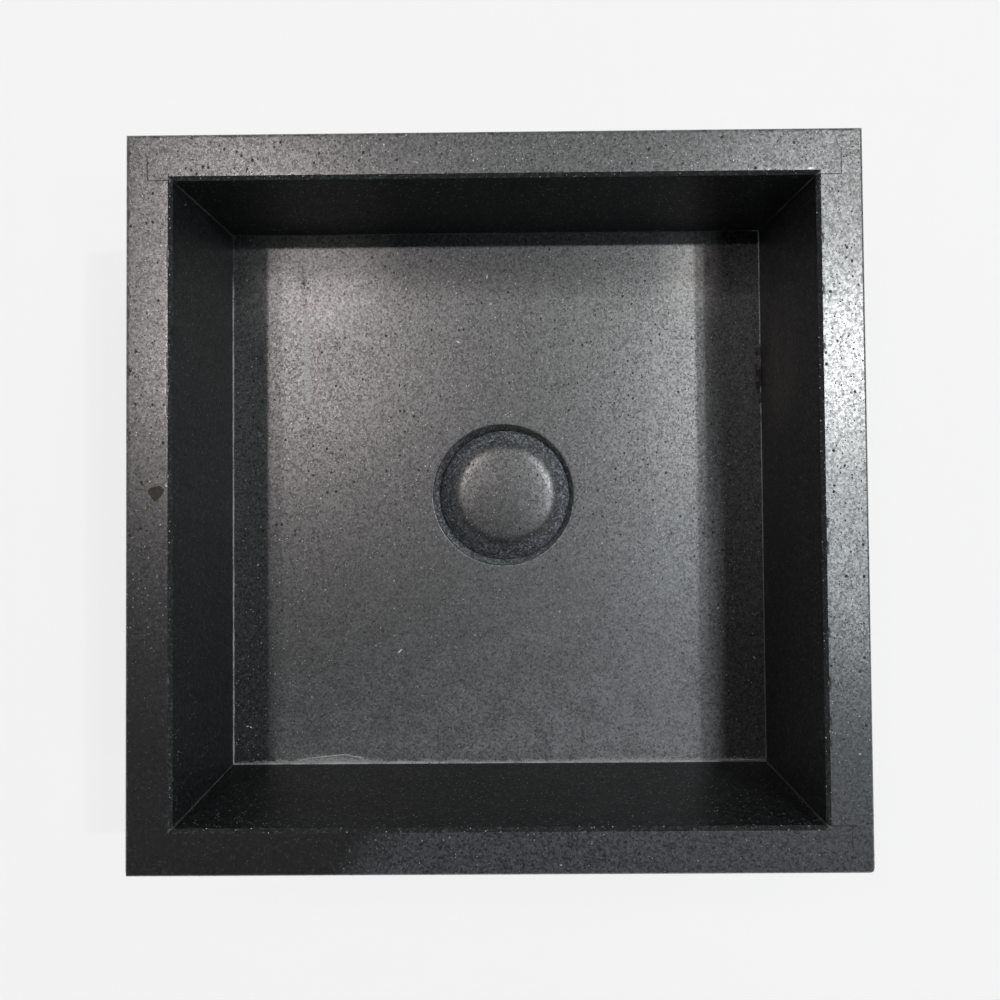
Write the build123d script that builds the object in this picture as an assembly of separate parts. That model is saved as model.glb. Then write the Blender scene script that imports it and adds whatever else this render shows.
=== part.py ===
from build123d import *

import math
import os

# Square countertop basin glued up from stone slabs, with a push-open waste under a domed stone cap.
# Millimetres. +Z is up, +X is right and +Y is the back, as the basin is seen from its front.
# The origin is the centre of the square outline, on the counter's top surface.

# Stone slabs
basin_width = 400.0
basin_depth = 400.0
basin_height = 150.0
wall_thick = 25.0
lip_thick = 11.5
floor_thick = 30.0
inner_arris = 2.1
outer_arris = 1.0
back_corner_arris = 0.5
front_right_arris = 2.4
front_left_arris_across = 0.7
front_left_arris_along = 3.3

# Glue lines between the slabs, with the bead that squeezes out along the bowl's floor
glue_thick = 0.5
glue_bead = 1.0

# Drain: a conical recess above a straight hole, and a shallow pocket under the floor
drain_x = 4.0
drain_y = 0.8
recess_depth = 12.0
cap_gap = 1.2
hole_clearance = 1.795
pocket_depth = 4.0
pocket_clearance = 4.0

# Waste body: flange, threaded tail and the web that carries the push latch
thread_r = 20.955
tail_wall = 3.455
tail_drop = 62.0
tail_chamfer = 1.0
flange_r = 32.0
flange_clearance = 2.6
flange_thick = 2.5
flange_edge = 0.8
mouth_chamfer = 1.0
groove_width = 2.0
groove_depth = 1.4
groove_gap = 1.0
hub_wall = 3.5
hub_height = 7.5
hub_drop = 14.0
arm_count = 3
arm_width = 4.0
arm_height = 6.0

# Seals, washers and the nut that hold the waste in the stone
flange_seal_inset = 0.5
flange_seal_thick = 1.5
gasket_r = 33.0
gasket_proud = 0.5
gasket_spigot_height = 5.0
gasket_spigot_taper = 0.6
spigot_clearance = 0.2
slip_washer_thick = 1.0
nut_flange_r = 31.0
nut_flange_thick = 3.0
nut_across_flats = 52.0
nut_height = 10.0
thread_clearance = 0.1
washer_clearance = 0.3

# Push latch: barrel, end plug, plunger, indexing rotor and spring
barrel_bore_r = 4.6
barrel_wall = 1.8
barrel_clearance = 0.1
collar_across_flats = 17.0
collar_thick = 3.5
closure_thick = 3.5
end_plug_spigot = 3.0
end_plug_flange = 2.0
plunger_r = 2.95
plunger_clearance = 0.1
head_clearance = 0.2
head_height = 4.0
spring_guide_r = 2.2
spring_guide_height = 4.0
rotor_height = 3.0
rotor_tooth_height = 1.2
rotor_tooth_count = 4
lift_travel = 9.0
stop_gap = 0.5
spring_wire_r = 0.4
spring_coil_r = 3.2
spring_space = 12.0
spring_turns = 8
spring_end_gap = 0.1

# Plug: seal, disc with its boss, stem nut, adhesive and the domed stone cap
plug_seal_r = 24.0
plug_seal_thick = 2.0
plug_disc_r = 30.0
plug_disc_thick = 2.5
plug_disc_edge = 0.6
boss_clearance = 0.9
boss_depth = 6.5
boss_roof = 1.0
stem_top_gap = 0.5
stem_nut_across_flats = 10.0
stem_nut_thick = 3.0
adhesive_r = 28.0
adhesive_thick = 0.5
cap_r = 42.4
cap_offset_x = 1.2
cap_under_bevel = 1.2
cap_land = 0.8
cap_rise = 9.0
cap_crown_r = 27.0
cap_crown_sag = 0.9

# Levels that the pieces share
recess_floor_z = floor_thick - recess_depth
flange_low_z = recess_floor_z + flange_seal_thick
flange_top_z = flange_low_z + flange_thick
hub_top_z = flange_top_z - hub_drop
closure_low_z = hub_top_z - closure_thick
head_top_z = closure_low_z - stop_gap - lift_travel - rotor_height
head_low_z = head_top_z - head_height
spring_low_z = head_low_z - spring_space
barrel_low_z = spring_low_z - end_plug_spigot
gasket_low_z = -gasket_proud
nut_top_z = gasket_low_z - slip_washer_thick
nut_low_z = nut_top_z - nut_height
disc_low_z = flange_top_z + plug_seal_thick
disc_top_z = disc_low_z + plug_disc_thick
boss_low_z = disc_low_z - boss_depth
cap_low_z = disc_top_z + adhesive_thick
cap_bevel_top_z = cap_low_z + cap_under_bevel

# Radii that follow from what each piece fits
drain_hole_r = thread_r + hole_clearance
tail_bore_r = thread_r - tail_wall
boss_r = tail_bore_r - boss_clearance
barrel_r = barrel_bore_r + barrel_wall
hub_bore_r = barrel_r + barrel_clearance
hub_r = hub_bore_r + hub_wall
head_r = barrel_bore_r - head_clearance
stem_bore_r = plunger_r + plunger_clearance
pocket_r = gasket_r + pocket_clearance
flange_seal_r = flange_r - flange_seal_inset
recess_floor_r = flange_r + flange_clearance

# The cone runs from the recess floor past the cap's lower edge, on the side that the cap is nearer to
cone_r_at_cap = cap_r - cap_under_bevel + cap_offset_x + cap_gap
cone_slope = (cone_r_at_cap - recess_floor_r) / (cap_low_z - recess_floor_z)
recess_mouth_r = recess_floor_r + recess_depth * cone_slope

SIDES = ((-1, "left"), (1, "right"))
ENDS = ((-1, "front"), (1, "back"))


def prism(points, low_z, high_z):
    """Upright solid over a closed outline in plan."""
    face = make_face(Polyline(*points, close=True))
    return extrude(Pos(0, 0, low_z) * face, amount=high_z - low_z)


def block(x_span, y_span, z_span):
    """Box between three pairs of limits."""
    size = [high - low for low, high in (x_span, y_span, z_span)]
    centre = [(high + low) / 2 for low, high in (x_span, y_span, z_span)]
    return Pos(*centre) * Box(*size)


def turned(points):
    """Solid of revolution about Z from a closed outline of radius and height."""
    return revolve(Plane.XZ * make_face(Polyline(*points, close=True)), Axis.Z)


def tube(outer_r, inner_r, low_z, high_z):
    """Plain ring or tube about Z."""
    return turned([(inner_r, low_z), (outer_r, low_z), (outer_r, high_z), (inner_r, high_z)])


def hexagon(across_flats, low_z, high_z):
    """Solid hexagonal bar about Z, with two flats facing Y."""
    corner_r = across_flats / 2 / math.cos(math.pi / 6)
    corners = [(corner_r * math.cos(k * math.pi / 3), corner_r * math.sin(k * math.pi / 3)) for k in range(6)]
    return prism(corners, low_z, high_z)


def at_drain(shape):
    """Move a piece made about Z onto the drain's axis."""
    return Pos(drain_x, drain_y, 0) * shape


def outer_envelope():
    """The whole block of stone with its outer edges eased."""
    half_w = basin_width / 2
    half_d = basin_depth / 2
    outline = [
        (-half_w + front_left_arris_across, -half_d),
        (half_w - front_right_arris, -half_d),
        (half_w, -half_d + front_right_arris),
        (half_w, half_d - back_corner_arris),
        (half_w - back_corner_arris, half_d),
        (-half_w + back_corner_arris, half_d),
        (-half_w, half_d - back_corner_arris),
        (-half_w, -half_d + front_left_arris_along),
    ]
    eased = block((-half_w, half_w), (-half_d, half_d), (0, basin_height))
    rims = eased.faces().sort_by(Axis.Z)
    eased = chamfer(rims[0].edges() + rims[-1].edges(), outer_arris)
    return eased & prism(outline, 0, basin_height)


def bowl_arris():
    """The inverted frustum that eases the bowl's top edge."""
    inner_w = basin_width - 2 * wall_thick
    inner_d = basin_depth - 2 * wall_thick
    low = Pos(0, 0, basin_height - inner_arris) * Rectangle(inner_w, inner_d)
    high = Pos(0, 0, basin_height) * Rectangle(inner_w + 2 * inner_arris, inner_d + 2 * inner_arris)
    return loft([low, high])


def floor_rebate():
    """The space that the floor slab and its glue take in the feet of the walls."""
    half_w = basin_width / 2 - lip_thick
    half_d = basin_depth / 2 - lip_thick
    return block((-half_w, half_w), (-half_d, half_d), (0, floor_thick + glue_thick))


def finished(wall):
    """A wall slab with its rebate, eased edges and bowl arris."""
    return (wall & outer_envelope()) - floor_rebate() - bowl_arris()


def side_wall(side):
    """Left or right slab, whose full thickness stops at the inner faces of the end slabs."""
    outer_x = basin_width / 2
    outer_y = basin_depth / 2
    end_y = outer_y - wall_thick - glue_thick
    outline = [
        (outer_x, -outer_y),
        (outer_x, outer_y),
        (outer_x - lip_thick, outer_y - lip_thick),
        (outer_x - lip_thick, end_y),
        (outer_x - wall_thick, end_y),
        (outer_x - wall_thick, -end_y),
        (outer_x - lip_thick, -end_y),
        (outer_x - lip_thick, -outer_y + lip_thick),
    ]
    return finished(prism([(side * x, y) for x, y in outline], 0, basin_height))


def end_wall(end):
    """Front or back slab, whose full thickness runs on to the lips of the side slabs."""
    outer_x = basin_width / 2
    outer_y = basin_depth / 2
    end_x = outer_x - lip_thick - glue_thick
    outline = [
        (-outer_x, outer_y),
        (outer_x, outer_y),
        (outer_x - lip_thick, outer_y - lip_thick),
        (end_x, outer_y - lip_thick),
        (end_x, outer_y - wall_thick),
        (-end_x, outer_y - wall_thick),
        (-end_x, outer_y - lip_thick),
        (-outer_x + lip_thick, outer_y - lip_thick),
    ]
    return finished(prism([(x, end * y) for x, y in outline], 0, basin_height))


def corner_seam(side, end):
    """Glue in the stepped part of one corner joint."""
    lip_x = basin_width / 2 - lip_thick
    lip_y = basin_depth / 2 - lip_thick
    inner_x = basin_width / 2 - wall_thick
    inner_y = basin_depth / 2 - wall_thick
    outline = [
        (lip_x, lip_y),
        (lip_x - glue_thick, lip_y),
        (lip_x - glue_thick, inner_y),
        (inner_x, inner_y),
        (inner_x, inner_y - glue_thick),
        (lip_x, inner_y - glue_thick),
    ]
    corner = [(side * x, end * y) for x, y in outline]
    return prism(corner, floor_thick + glue_thick, basin_height) - bowl_arris()


def floor_seam(half_across, half_along):
    """Glue round one edge of the floor slab, on the +X side, with its ends mitred."""
    lip = half_across - lip_thick
    inner = half_across - wall_thick
    run = half_along - lip_thick
    roof_z = floor_thick + glue_thick
    outline = Polyline(
        (inner, floor_thick + glue_bead),
        (inner, roof_z),
        (lip, roof_z),
        (lip, 0),
        (lip - glue_thick, 0),
        (lip - glue_thick, floor_thick),
        (inner - glue_bead, floor_thick),
    )
    bead = RadiusArc((inner - glue_bead, floor_thick), (inner, floor_thick + glue_bead), -glue_bead)
    section = Plane.XZ.offset(run) * make_face(outline + bead)
    strip = extrude(section, amount=-2 * run)
    width = lip - inner + glue_bead
    mitre = [(lip, run), (lip, -run), (lip - width, -run + width), (lip - width, run - width)]
    return strip & prism(mitre, 0, roof_z + glue_bead)


def floor_seams():
    """The four glue lines round the floor slab."""
    half_w = basin_width / 2
    half_d = basin_depth / 2
    across = floor_seam(half_w, half_d)
    along = floor_seam(half_d, half_w)
    return {
        "floor_seam_right": across,
        "floor_seam_left": Rot(0, 0, 180) * across,
        "floor_seam_back": Rot(0, 0, 90) * along,
        "floor_seam_front": Rot(0, 0, -90) * along,
    }


def floor_slab():
    """Bottom slab with the drain's recess, hole and under pocket."""
    half_w = basin_width / 2 - lip_thick - glue_thick
    half_d = basin_depth / 2 - lip_thick - glue_thick
    slab = block((-half_w, half_w), (-half_d, half_d), (0, floor_thick))
    drain = turned([
        (0, 0),
        (pocket_r, 0),
        (pocket_r, pocket_depth),
        (drain_hole_r, pocket_depth),
        (drain_hole_r, recess_floor_z),
        (recess_floor_r, recess_floor_z),
        (recess_mouth_r, floor_thick),
        (0, floor_thick),
    ])
    return slab - at_drain(drain)


def waste_body():
    """Flange, threaded tail and the three-armed web with its hub."""
    root_r = thread_r - groove_depth
    groove_top_z = nut_low_z - groove_gap
    groove_low_z = groove_top_z - groove_width
    shell = turned([
        (tail_bore_r, -tail_drop),
        (thread_r - tail_chamfer, -tail_drop),
        (thread_r, -tail_drop + tail_chamfer),
        (thread_r, groove_low_z),
        (root_r, groove_low_z),
        (root_r, groove_top_z),
        (thread_r, groove_top_z),
        (thread_r, flange_low_z),
        (flange_r, flange_low_z),
        (flange_r, flange_top_z - flange_edge),
        (flange_r - flange_edge, flange_top_z),
        (tail_bore_r + mouth_chamfer, flange_top_z),
        (tail_bore_r, flange_top_z - mouth_chamfer),
    ])
    hub_low_z = hub_top_z - hub_height
    web = tube(hub_r, hub_bore_r, hub_low_z, hub_top_z)
    arm_start = (hub_r + hub_bore_r) / 2
    arm_end = (tail_bore_r + thread_r) / 2
    arm = block(
        (arm_start, arm_end),
        (-arm_width / 2, arm_width / 2),
        (hub_low_z, hub_low_z + arm_height),
    )
    for k in range(arm_count):
        web += Rot(0, 0, 360 * k / arm_count + 90) * arm
    return at_drain(shell + web)


def flange_seal():
    """Soft ring between the flange and the recess floor."""
    return at_drain(tube(flange_seal_r, thread_r + washer_clearance, recess_floor_z, flange_low_z))


def lower_gasket():
    """Rubber washer under the floor slab, with a tapered spigot in the drain hole."""
    bore_r = thread_r + thread_clearance
    spigot_r = drain_hole_r - spigot_clearance
    return at_drain(turned([
        (bore_r, gasket_low_z),
        (gasket_r, gasket_low_z),
        (gasket_r, pocket_depth),
        (spigot_r, pocket_depth),
        (spigot_r - gasket_spigot_taper, pocket_depth + gasket_spigot_height),
        (bore_r, pocket_depth + gasket_spigot_height),
    ]))


def slip_washer():
    """Thin washer that lets the nut turn without dragging the gasket."""
    return at_drain(tube(gasket_r, thread_r + washer_clearance, nut_top_z, gasket_low_z))


def lock_nut():
    """Flanged hexagonal nut on the tail."""
    hex_top_z = nut_top_z - nut_flange_thick
    nut = hexagon(nut_across_flats, nut_low_z, hex_top_z)
    nut += Pos(0, 0, hex_top_z + nut_flange_thick / 2) * Cylinder(nut_flange_r, nut_flange_thick)
    bore = Pos(0, 0, (nut_low_z + nut_top_z) / 2) * Cylinder(thread_r + thread_clearance, 2 * nut_height)
    return at_drain(nut - bore)


def latch_barrel():
    """Barrel of the push latch, screwed into the hub by its collar."""
    barrel = turned([
        (barrel_bore_r, barrel_low_z),
        (barrel_r, barrel_low_z),
        (barrel_r, hub_top_z),
        (stem_bore_r, hub_top_z),
        (stem_bore_r, closure_low_z),
        (barrel_bore_r, closure_low_z),
    ])
    collar_top_z = hub_top_z + collar_thick
    collar = hexagon(collar_across_flats, hub_top_z, collar_top_z)
    collar -= Pos(0, 0, collar_top_z - collar_thick / 2) * Cylinder(stem_bore_r, 2 * collar_thick)
    return at_drain(barrel + collar)


def barrel_end_plug():
    """Plug that closes the barrel's foot and seats the spring."""
    spigot_r = barrel_bore_r - barrel_clearance
    return at_drain(turned([
        (0, barrel_low_z - end_plug_flange),
        (barrel_r, barrel_low_z - end_plug_flange),
        (barrel_r, barrel_low_z),
        (spigot_r, barrel_low_z),
        (spigot_r, spring_low_z),
        (0, spring_low_z),
    ]))


def plunger():
    """Stem of the plug, with its head and spring guide inside the barrel."""
    stem_top_z = disc_top_z - boss_roof - stem_top_gap
    return at_drain(turned([
        (0, head_low_z - spring_guide_height),
        (spring_guide_r, head_low_z - spring_guide_height),
        (spring_guide_r, head_low_z),
        (head_r, head_low_z),
        (head_r, head_top_z),
        (plunger_r, head_top_z),
        (plunger_r, stem_top_z),
        (0, stem_top_z),
    ]))


def latch_rotor():
    """Indexing ring on the plunger's head, with its ramped teeth."""
    ring = tube(head_r, stem_bore_r, head_top_z, head_top_z + rotor_height - rotor_tooth_height)
    tooth_low_z = head_top_z + rotor_height - rotor_tooth_height
    half_width = head_r * math.sin(math.pi / (3 * rotor_tooth_count))
    ramp = Polyline(
        (-half_width, tooth_low_z),
        (half_width, tooth_low_z),
        (half_width, tooth_low_z + rotor_tooth_height),
        close=True,
    )
    wedge = extrude(Plane.YZ * make_face(ramp), amount=head_r)
    crown = tube(head_r, stem_bore_r, tooth_low_z, tooth_low_z + rotor_tooth_height)
    for k in range(rotor_tooth_count):
        ring += (Rot(0, 0, 360 * k / rotor_tooth_count) * wedge) & crown
    return at_drain(ring)


def latch_spring():
    """Coil spring between the end plug and the plunger's head."""
    margin = spring_wire_r + spring_end_gap
    height = spring_space - 2 * margin
    pitch = height / spring_turns
    path = Pos(0, 0, spring_low_z + margin) * Helix(pitch, height, spring_coil_r)
    start = path @ 0
    section = Plane(origin=start, z_dir=path % 0) * Circle(spring_wire_r)
    print("least gap between the spring's turns", round(pitch - 2 * spring_wire_r, 3))
    return at_drain(sweep(section, path, is_frenet=True))


def plug_seal():
    """Soft ring under the plug disc that closes on the flange."""
    return at_drain(tube(plug_seal_r, boss_r + plunger_clearance, flange_top_z, disc_low_z))


def plug_disc():
    """Disc with a boss that takes the plunger."""
    stem_bore_top_z = disc_top_z - boss_roof
    return at_drain(turned([
        (stem_bore_r, boss_low_z),
        (boss_r, boss_low_z),
        (boss_r, disc_low_z),
        (plug_disc_r, disc_low_z),
        (plug_disc_r, disc_top_z - plug_disc_edge),
        (plug_disc_r - plug_disc_edge, disc_top_z),
        (0, disc_top_z),
        (0, stem_bore_top_z),
        (stem_bore_r, stem_bore_top_z),
    ]))


def stem_nut():
    """Thin nut that locks the plug disc on the plunger."""
    nut = hexagon(stem_nut_across_flats, boss_low_z - stem_nut_thick, boss_low_z)
    bore = Pos(0, 0, boss_low_z - stem_nut_thick / 2) * Cylinder(stem_bore_r, 2 * stem_nut_thick)
    return at_drain(nut - bore)


def cap_adhesive():
    """Pad of adhesive between the plug disc and the stone cap."""
    return at_drain(tube(adhesive_r, stem_bore_r, disc_top_z, cap_low_z))


def stone_cap():
    """Domed stone cap, glued on a little off the plug's axis."""
    land_top_z = cap_bevel_top_z + cap_land
    crown_top = (0, land_top_z + cap_rise)
    crown_edge = (cap_crown_r, land_top_z + cap_rise - cap_crown_sag)
    crown_radius = (cap_crown_r**2 + cap_crown_sag**2) / (2 * cap_crown_sag)
    crown = RadiusArc(crown_top, crown_edge, crown_radius)
    shoulder = TangentArc(crown_edge, (cap_r, land_top_z), tangent=crown % 1)
    sides = Polyline(
        (cap_r, land_top_z),
        (cap_r, cap_bevel_top_z),
        (cap_r - cap_under_bevel, cap_low_z),
        (0, cap_low_z),
        crown_top,
    )
    cap = revolve(Plane.XZ * make_face(crown + shoulder + sides), Axis.Z)
    return Pos(cap_offset_x, 0, 0) * at_drain(cap)


def all_parts():
    """Every node of the basin by name."""
    parts = {"floor_slab": floor_slab()}
    for side, side_name in SIDES:
        parts[side_name + "_wall"] = side_wall(side)
    for end, end_name in ENDS:
        parts[end_name + "_wall"] = end_wall(end)
        for side, side_name in SIDES:
            parts["corner_seam_" + end_name + "_" + side_name] = corner_seam(side, end)
    parts.update(floor_seams())
    parts["waste_body"] = waste_body()
    parts["flange_seal"] = flange_seal()
    parts["lower_gasket"] = lower_gasket()
    parts["slip_washer"] = slip_washer()
    parts["lock_nut"] = lock_nut()
    parts["latch_barrel"] = latch_barrel()
    parts["barrel_end_plug"] = barrel_end_plug()
    parts["latch_spring"] = latch_spring()
    parts["latch_rotor"] = latch_rotor()
    parts["plunger"] = plunger()
    parts["stem_nut"] = stem_nut()
    parts["plug_seal"] = plug_seal()
    parts["plug_disc"] = plug_disc()
    parts["cap_adhesive"] = cap_adhesive()
    parts["stone_cap"] = stone_cap()
    return parts


os.makedirs("parts", exist_ok=True)
for node, shape in all_parts().items():
    export_step(shape, "parts/" + node + ".step")
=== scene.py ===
import math

import bmesh
import bpy
from mathutils import Matrix, Vector, noise


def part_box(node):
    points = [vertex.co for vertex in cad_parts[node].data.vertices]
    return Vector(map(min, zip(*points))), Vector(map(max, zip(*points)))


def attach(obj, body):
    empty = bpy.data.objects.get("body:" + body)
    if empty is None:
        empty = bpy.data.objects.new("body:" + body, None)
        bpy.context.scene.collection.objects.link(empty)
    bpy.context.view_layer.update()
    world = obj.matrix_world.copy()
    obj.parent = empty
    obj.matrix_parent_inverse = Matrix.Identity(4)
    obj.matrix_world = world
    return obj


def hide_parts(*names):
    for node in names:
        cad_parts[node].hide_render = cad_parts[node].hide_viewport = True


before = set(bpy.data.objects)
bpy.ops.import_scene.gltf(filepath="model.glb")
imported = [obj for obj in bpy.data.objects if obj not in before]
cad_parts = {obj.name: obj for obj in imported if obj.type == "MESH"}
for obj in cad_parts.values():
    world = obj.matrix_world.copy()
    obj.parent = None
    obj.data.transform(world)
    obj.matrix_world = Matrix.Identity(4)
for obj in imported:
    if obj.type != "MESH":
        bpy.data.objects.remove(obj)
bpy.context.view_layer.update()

MM = 0.001
BASIN = "basin"
PLUG = "plug"

# Sizes in metres, read from the frame
slab_low, slab_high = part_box("floor_slab")
right_low, right_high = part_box("right_wall")
back_low, back_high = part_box("back_wall")
seam_low, seam_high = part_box("corner_seam_back_right")
waste_low, waste_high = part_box("waste_body")
nut_low, nut_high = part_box("lock_nut")
gasket_low, gasket_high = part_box("lower_gasket")
cap_low, cap_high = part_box("stone_cap")
seal_low, seal_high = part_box("flange_seal")

OUTER = right_high.x
RIM_Z = right_high.z
INNER = back_low.y
LIP = seam_high.x
FLOOR_Z = slab_high.z
ROOF_Z = seam_low.z
GLUE = LIP - slab_high.x
DRAIN_X = (waste_low.x + waste_high.x) / 2
DRAIN_Y = (waste_low.y + waste_high.y) / 2
FLANGE_R = (waste_high.x - waste_low.x) / 2
FLANGE_TOP_Z = waste_high.z
RECESS_FLOOR_Z = seal_low.z
SEAL_R = (seal_high.x - seal_low.x) / 2
TAIL_LOW_Z = waste_low.z
NUT_FLANGE_R = (nut_high.y - nut_low.y) / 2
GASKET_R = (gasket_high.x - gasket_low.x) / 2
CAP_CENTRE = ((cap_low.x + cap_high.x) / 2, (cap_low.y + cap_high.y) / 2)
CAP_R = (cap_high.x - cap_low.x) / 2

# Sizes in metres that the frame's boxes don't give
INNER_ARRIS = 2.1 * MM
OUTER_ARRIS = 1.0 * MM
RECESS_MOUTH_R = 46.6 * MM
RECESS_FLOOR_R = 34.6 * MM
DRAIN_HOLE_R = 22.75 * MM
POCKET_R = 37.0 * MM
POCKET_Z = 4.0 * MM
THREAD_R = 20.955 * MM
THREAD_PITCH = 25.4 * MM / 11
THREAD_DEPTH = 1.3 * MM
TAIL_BORE_R = 17.5 * MM
GROOVE_R = THREAD_R - 1.4 * MM
GROOVE_TOP_Z = nut_low.z - 1.0 * MM
GROOVE_LOW_Z = GROOVE_TOP_Z - 2.0 * MM
HUB_R = 10.0 * MM
HUB_BORE_R = 6.5 * MM
HUB_LOW_Z = 0.5 * MM
HUB_TOP_Z = 8.0 * MM
ARM_HALF_WIDTH = 2.0 * MM
ARM_TOP_Z = 6.5 * MM
ARM_FILLET = 1.6 * MM
NUT_FLATS = 52.0 * MM
NUT_FLANGE_THICK = 3.0 * MM
CAP_BEVEL = 1.2 * MM
CAP_LAND = 0.8 * MM
CAP_CROWN_R = 27.0 * MM
CAP_CROWN_SAG = 0.9 * MM


def round_angles(count):
    """Evenly spaced angles round a circle."""
    return [2 * math.pi * k / count for k in range(count)]


def rough_noise(point, scale, shift=0.0):
    """Smooth noise from -1 to 1 at a point in metres, with a feature size of about 1 / scale."""
    return noise.noise(Vector(point) * scale + Vector((shift, 1.7 * shift, 0.3 * shift)))


# Materials


class Graph:
    """One procedural material, with short calls for its nodes."""

    def __init__(self, name):
        self.material = bpy.data.materials.new(name)
        self.material.use_nodes = True
        self.tree = self.material.node_tree
        self.shader = self.tree.nodes["Principled BSDF"]
        self.place = self.tree.nodes.new("ShaderNodeTexCoord").outputs["Object"]

    def node(self, kind, inputs, **settings):
        made = self.tree.nodes.new(kind)
        for key, value in settings.items():
            setattr(made, key, value)
        for key, value in inputs.items():
            self.feed(made.inputs[key], value)
        return made

    def feed(self, socket, value):
        if isinstance(value, bpy.types.NodeSocket):
            self.tree.links.new(value, socket)
        else:
            socket.default_value = value

    def set(self, **values):
        """Feed the shader's sockets by name, with _ for a space."""
        for key, value in values.items():
            self.feed(self.shader.inputs[key.replace("_", " ")], value)

    def stretched(self, scale, shift=(0, 0, 0)):
        inputs = {"Vector": self.place, "Scale": scale, "Location": shift}
        return self.node("ShaderNodeMapping", inputs).outputs["Vector"]

    def moved(self, *shift):
        return self.stretched((1, 1, 1), shift)

    def noise(self, scale, detail=2.0, rough=0.5, place=None):
        inputs = {"Vector": place or self.place, "Scale": scale, "Detail": detail, "Roughness": rough}
        return self.node("ShaderNodeTexNoise", inputs).outputs["Fac"]

    def cells(self, scale, place=None):
        """A pattern of cells: distance from the cell's middle, and two numbers from 0 to 1 for each cell."""
        made = self.node("ShaderNodeTexVoronoi", {"Vector": place or self.place, "Scale": scale})
        parts = self.node("ShaderNodeSeparateColor", {"Color": made.outputs["Color"]})
        return made.outputs["Distance"], parts.outputs[0], parts.outputs[1]

    def drifted(self, scale, reach):
        """Places shifted a little here and there, to make a pattern of cells less regular."""
        made = self.node("ShaderNodeTexNoise", {"Vector": self.place, "Scale": scale, "Detail": 1.0})
        inputs = {0: made.outputs["Color"], 1: (0.5, 0.5, 0.5)}
        centred = self.node("ShaderNodeVectorMath", inputs, operation="SUBTRACT").outputs[0]
        moves = self.scaled(centred, 2 * reach)
        return self.node("ShaderNodeVectorMath", {0: self.place, 1: moves}).outputs[0]

    def math(self, operation, a, b=0.0, clamp=False):
        made = self.node("ShaderNodeMath", {0: a, 1: b}, operation=operation)
        made.use_clamp = clamp
        return made.outputs[0]

    def times(self, first, *others):
        for other in others:
            first = self.math("MULTIPLY", first, other)
        return first

    def plus(self, first, *others):
        for other in others:
            first = self.math("ADD", first, other)
        return first

    def minus(self, a, b):
        return self.math("SUBTRACT", a, b)

    def highest(self, first, *others):
        for other in others:
            first = self.math("MAXIMUM", first, other)
        return first

    def remap(self, value, low, high, to_low=0.0, to_high=1.0):
        inputs = {"Value": value, "From Min": low, "From Max": high, "To Min": to_low, "To Max": to_high}
        return self.node("ShaderNodeMapRange", inputs).outputs["Result"]

    def mix(self, factor, a, b):
        made = self.tree.nodes.new("ShaderNodeMix")
        made.data_type = "RGBA"
        self.feed(made.inputs[0], factor)
        self.feed(made.inputs[6], a)
        self.feed(made.inputs[7], b)
        return made.outputs[2]

    def scaled(self, colour, level):
        source = colour if isinstance(colour, bpy.types.NodeSocket) else colour[:3]
        return self.node("ShaderNodeVectorMath", {0: source, "Scale": level}, operation="SCALE").outputs[0]

    def speckled(self, mask, least, most):
        """A mask that is stronger on some grains than on others."""
        pick = self.cells(FILM_GRAINS, self.moved(0.13, 0.47, 0.33))[1]
        return self.times(mask, self.remap(pick, 0, 1, least, most))

    def blobs(self, scale, share, largest, place=None, soft=0.35):
        """Spots in a share of the cells of a pattern, with radii up to largest, as a share of a cell."""
        distance, pick, size = self.cells(scale, place)
        chosen = self.math("GREATER_THAN", pick, 1 - share)
        radius = self.times(chosen, self.remap(size, 0, 1, 0.5 * largest, largest))
        edge = self.plus(self.times(radius, soft), 1e-4)
        return self.math("DIVIDE", self.minus(radius, distance), edge, clamp=True)

    def stroke(self, start, end, width, soft=0.5):
        """One along a line between two points in plan, falling to nothing at half its width."""
        run = Vector(end) - Vector(start)
        along = run.normalized()
        middle = (Vector(start) + Vector(end)) / 2
        from_x = self.minus(self.axis("X"), middle.x)
        from_y = self.minus(self.axis("Y"), middle.y)
        forward = self.plus(self.times(from_x, along.x), self.times(from_y, along.y))
        aside = self.minus(self.times(from_y, along.x), self.times(from_x, along.y))
        half = width / 2
        reach = run.length / 2
        line = self.remap(self.math("ABSOLUTE", aside), half * (1 - soft), half, 1.0, 0.0)
        ends = self.remap(self.math("ABSOLUTE", forward), reach - half, reach + half, 1.0, 0.0)
        return self.times(line, ends)

    def bump(self, height, distance):
        made = self.node("ShaderNodeBump", {"Height": height, "Distance": distance, "Strength": 1.0})
        self.set(Normal=made.outputs["Normal"])

    def axis(self, name):
        return self.node("ShaderNodeSeparateXYZ", {"Vector": self.place}).outputs[name]

    def along(self, axis, low, high, to_low=0.0, to_high=1.0):
        """A ramp between two places along an axis of the object."""
        return self.remap(self.axis(axis), low, high, to_low, to_high)

    def band(self, axis, low, high, soft):
        """One between two places along an axis, falling to nothing over the soft margin."""
        away = self.math("ABSOLUTE", self.minus(self.axis(axis), (low + high) / 2))
        half = (high - low) / 2
        return self.remap(away, half - soft, half + soft, 1.0, 0.0)


def grey(level, tint=(1.0, 1.0, 1.0)):
    return tuple(level * share for share in tint) + (1.0,)


# The stone's tones and gloss
STONE_TINT = (0.91, 1.0, 1.06)
STONE_DARK = grey(0.003, STONE_TINT)
STONE_LIGHT = grey(0.130, STONE_TINT)
PIT_GREY = grey(0.002)
FLECK_GREY = grey(0.50)
COOL_GREY = (0.92, 1.0, 1.10)
LIGHT_SHARE = 0.28
GROUND_ROUGHNESS = 0.62
GRAIN_IOR = 2.0

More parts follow.
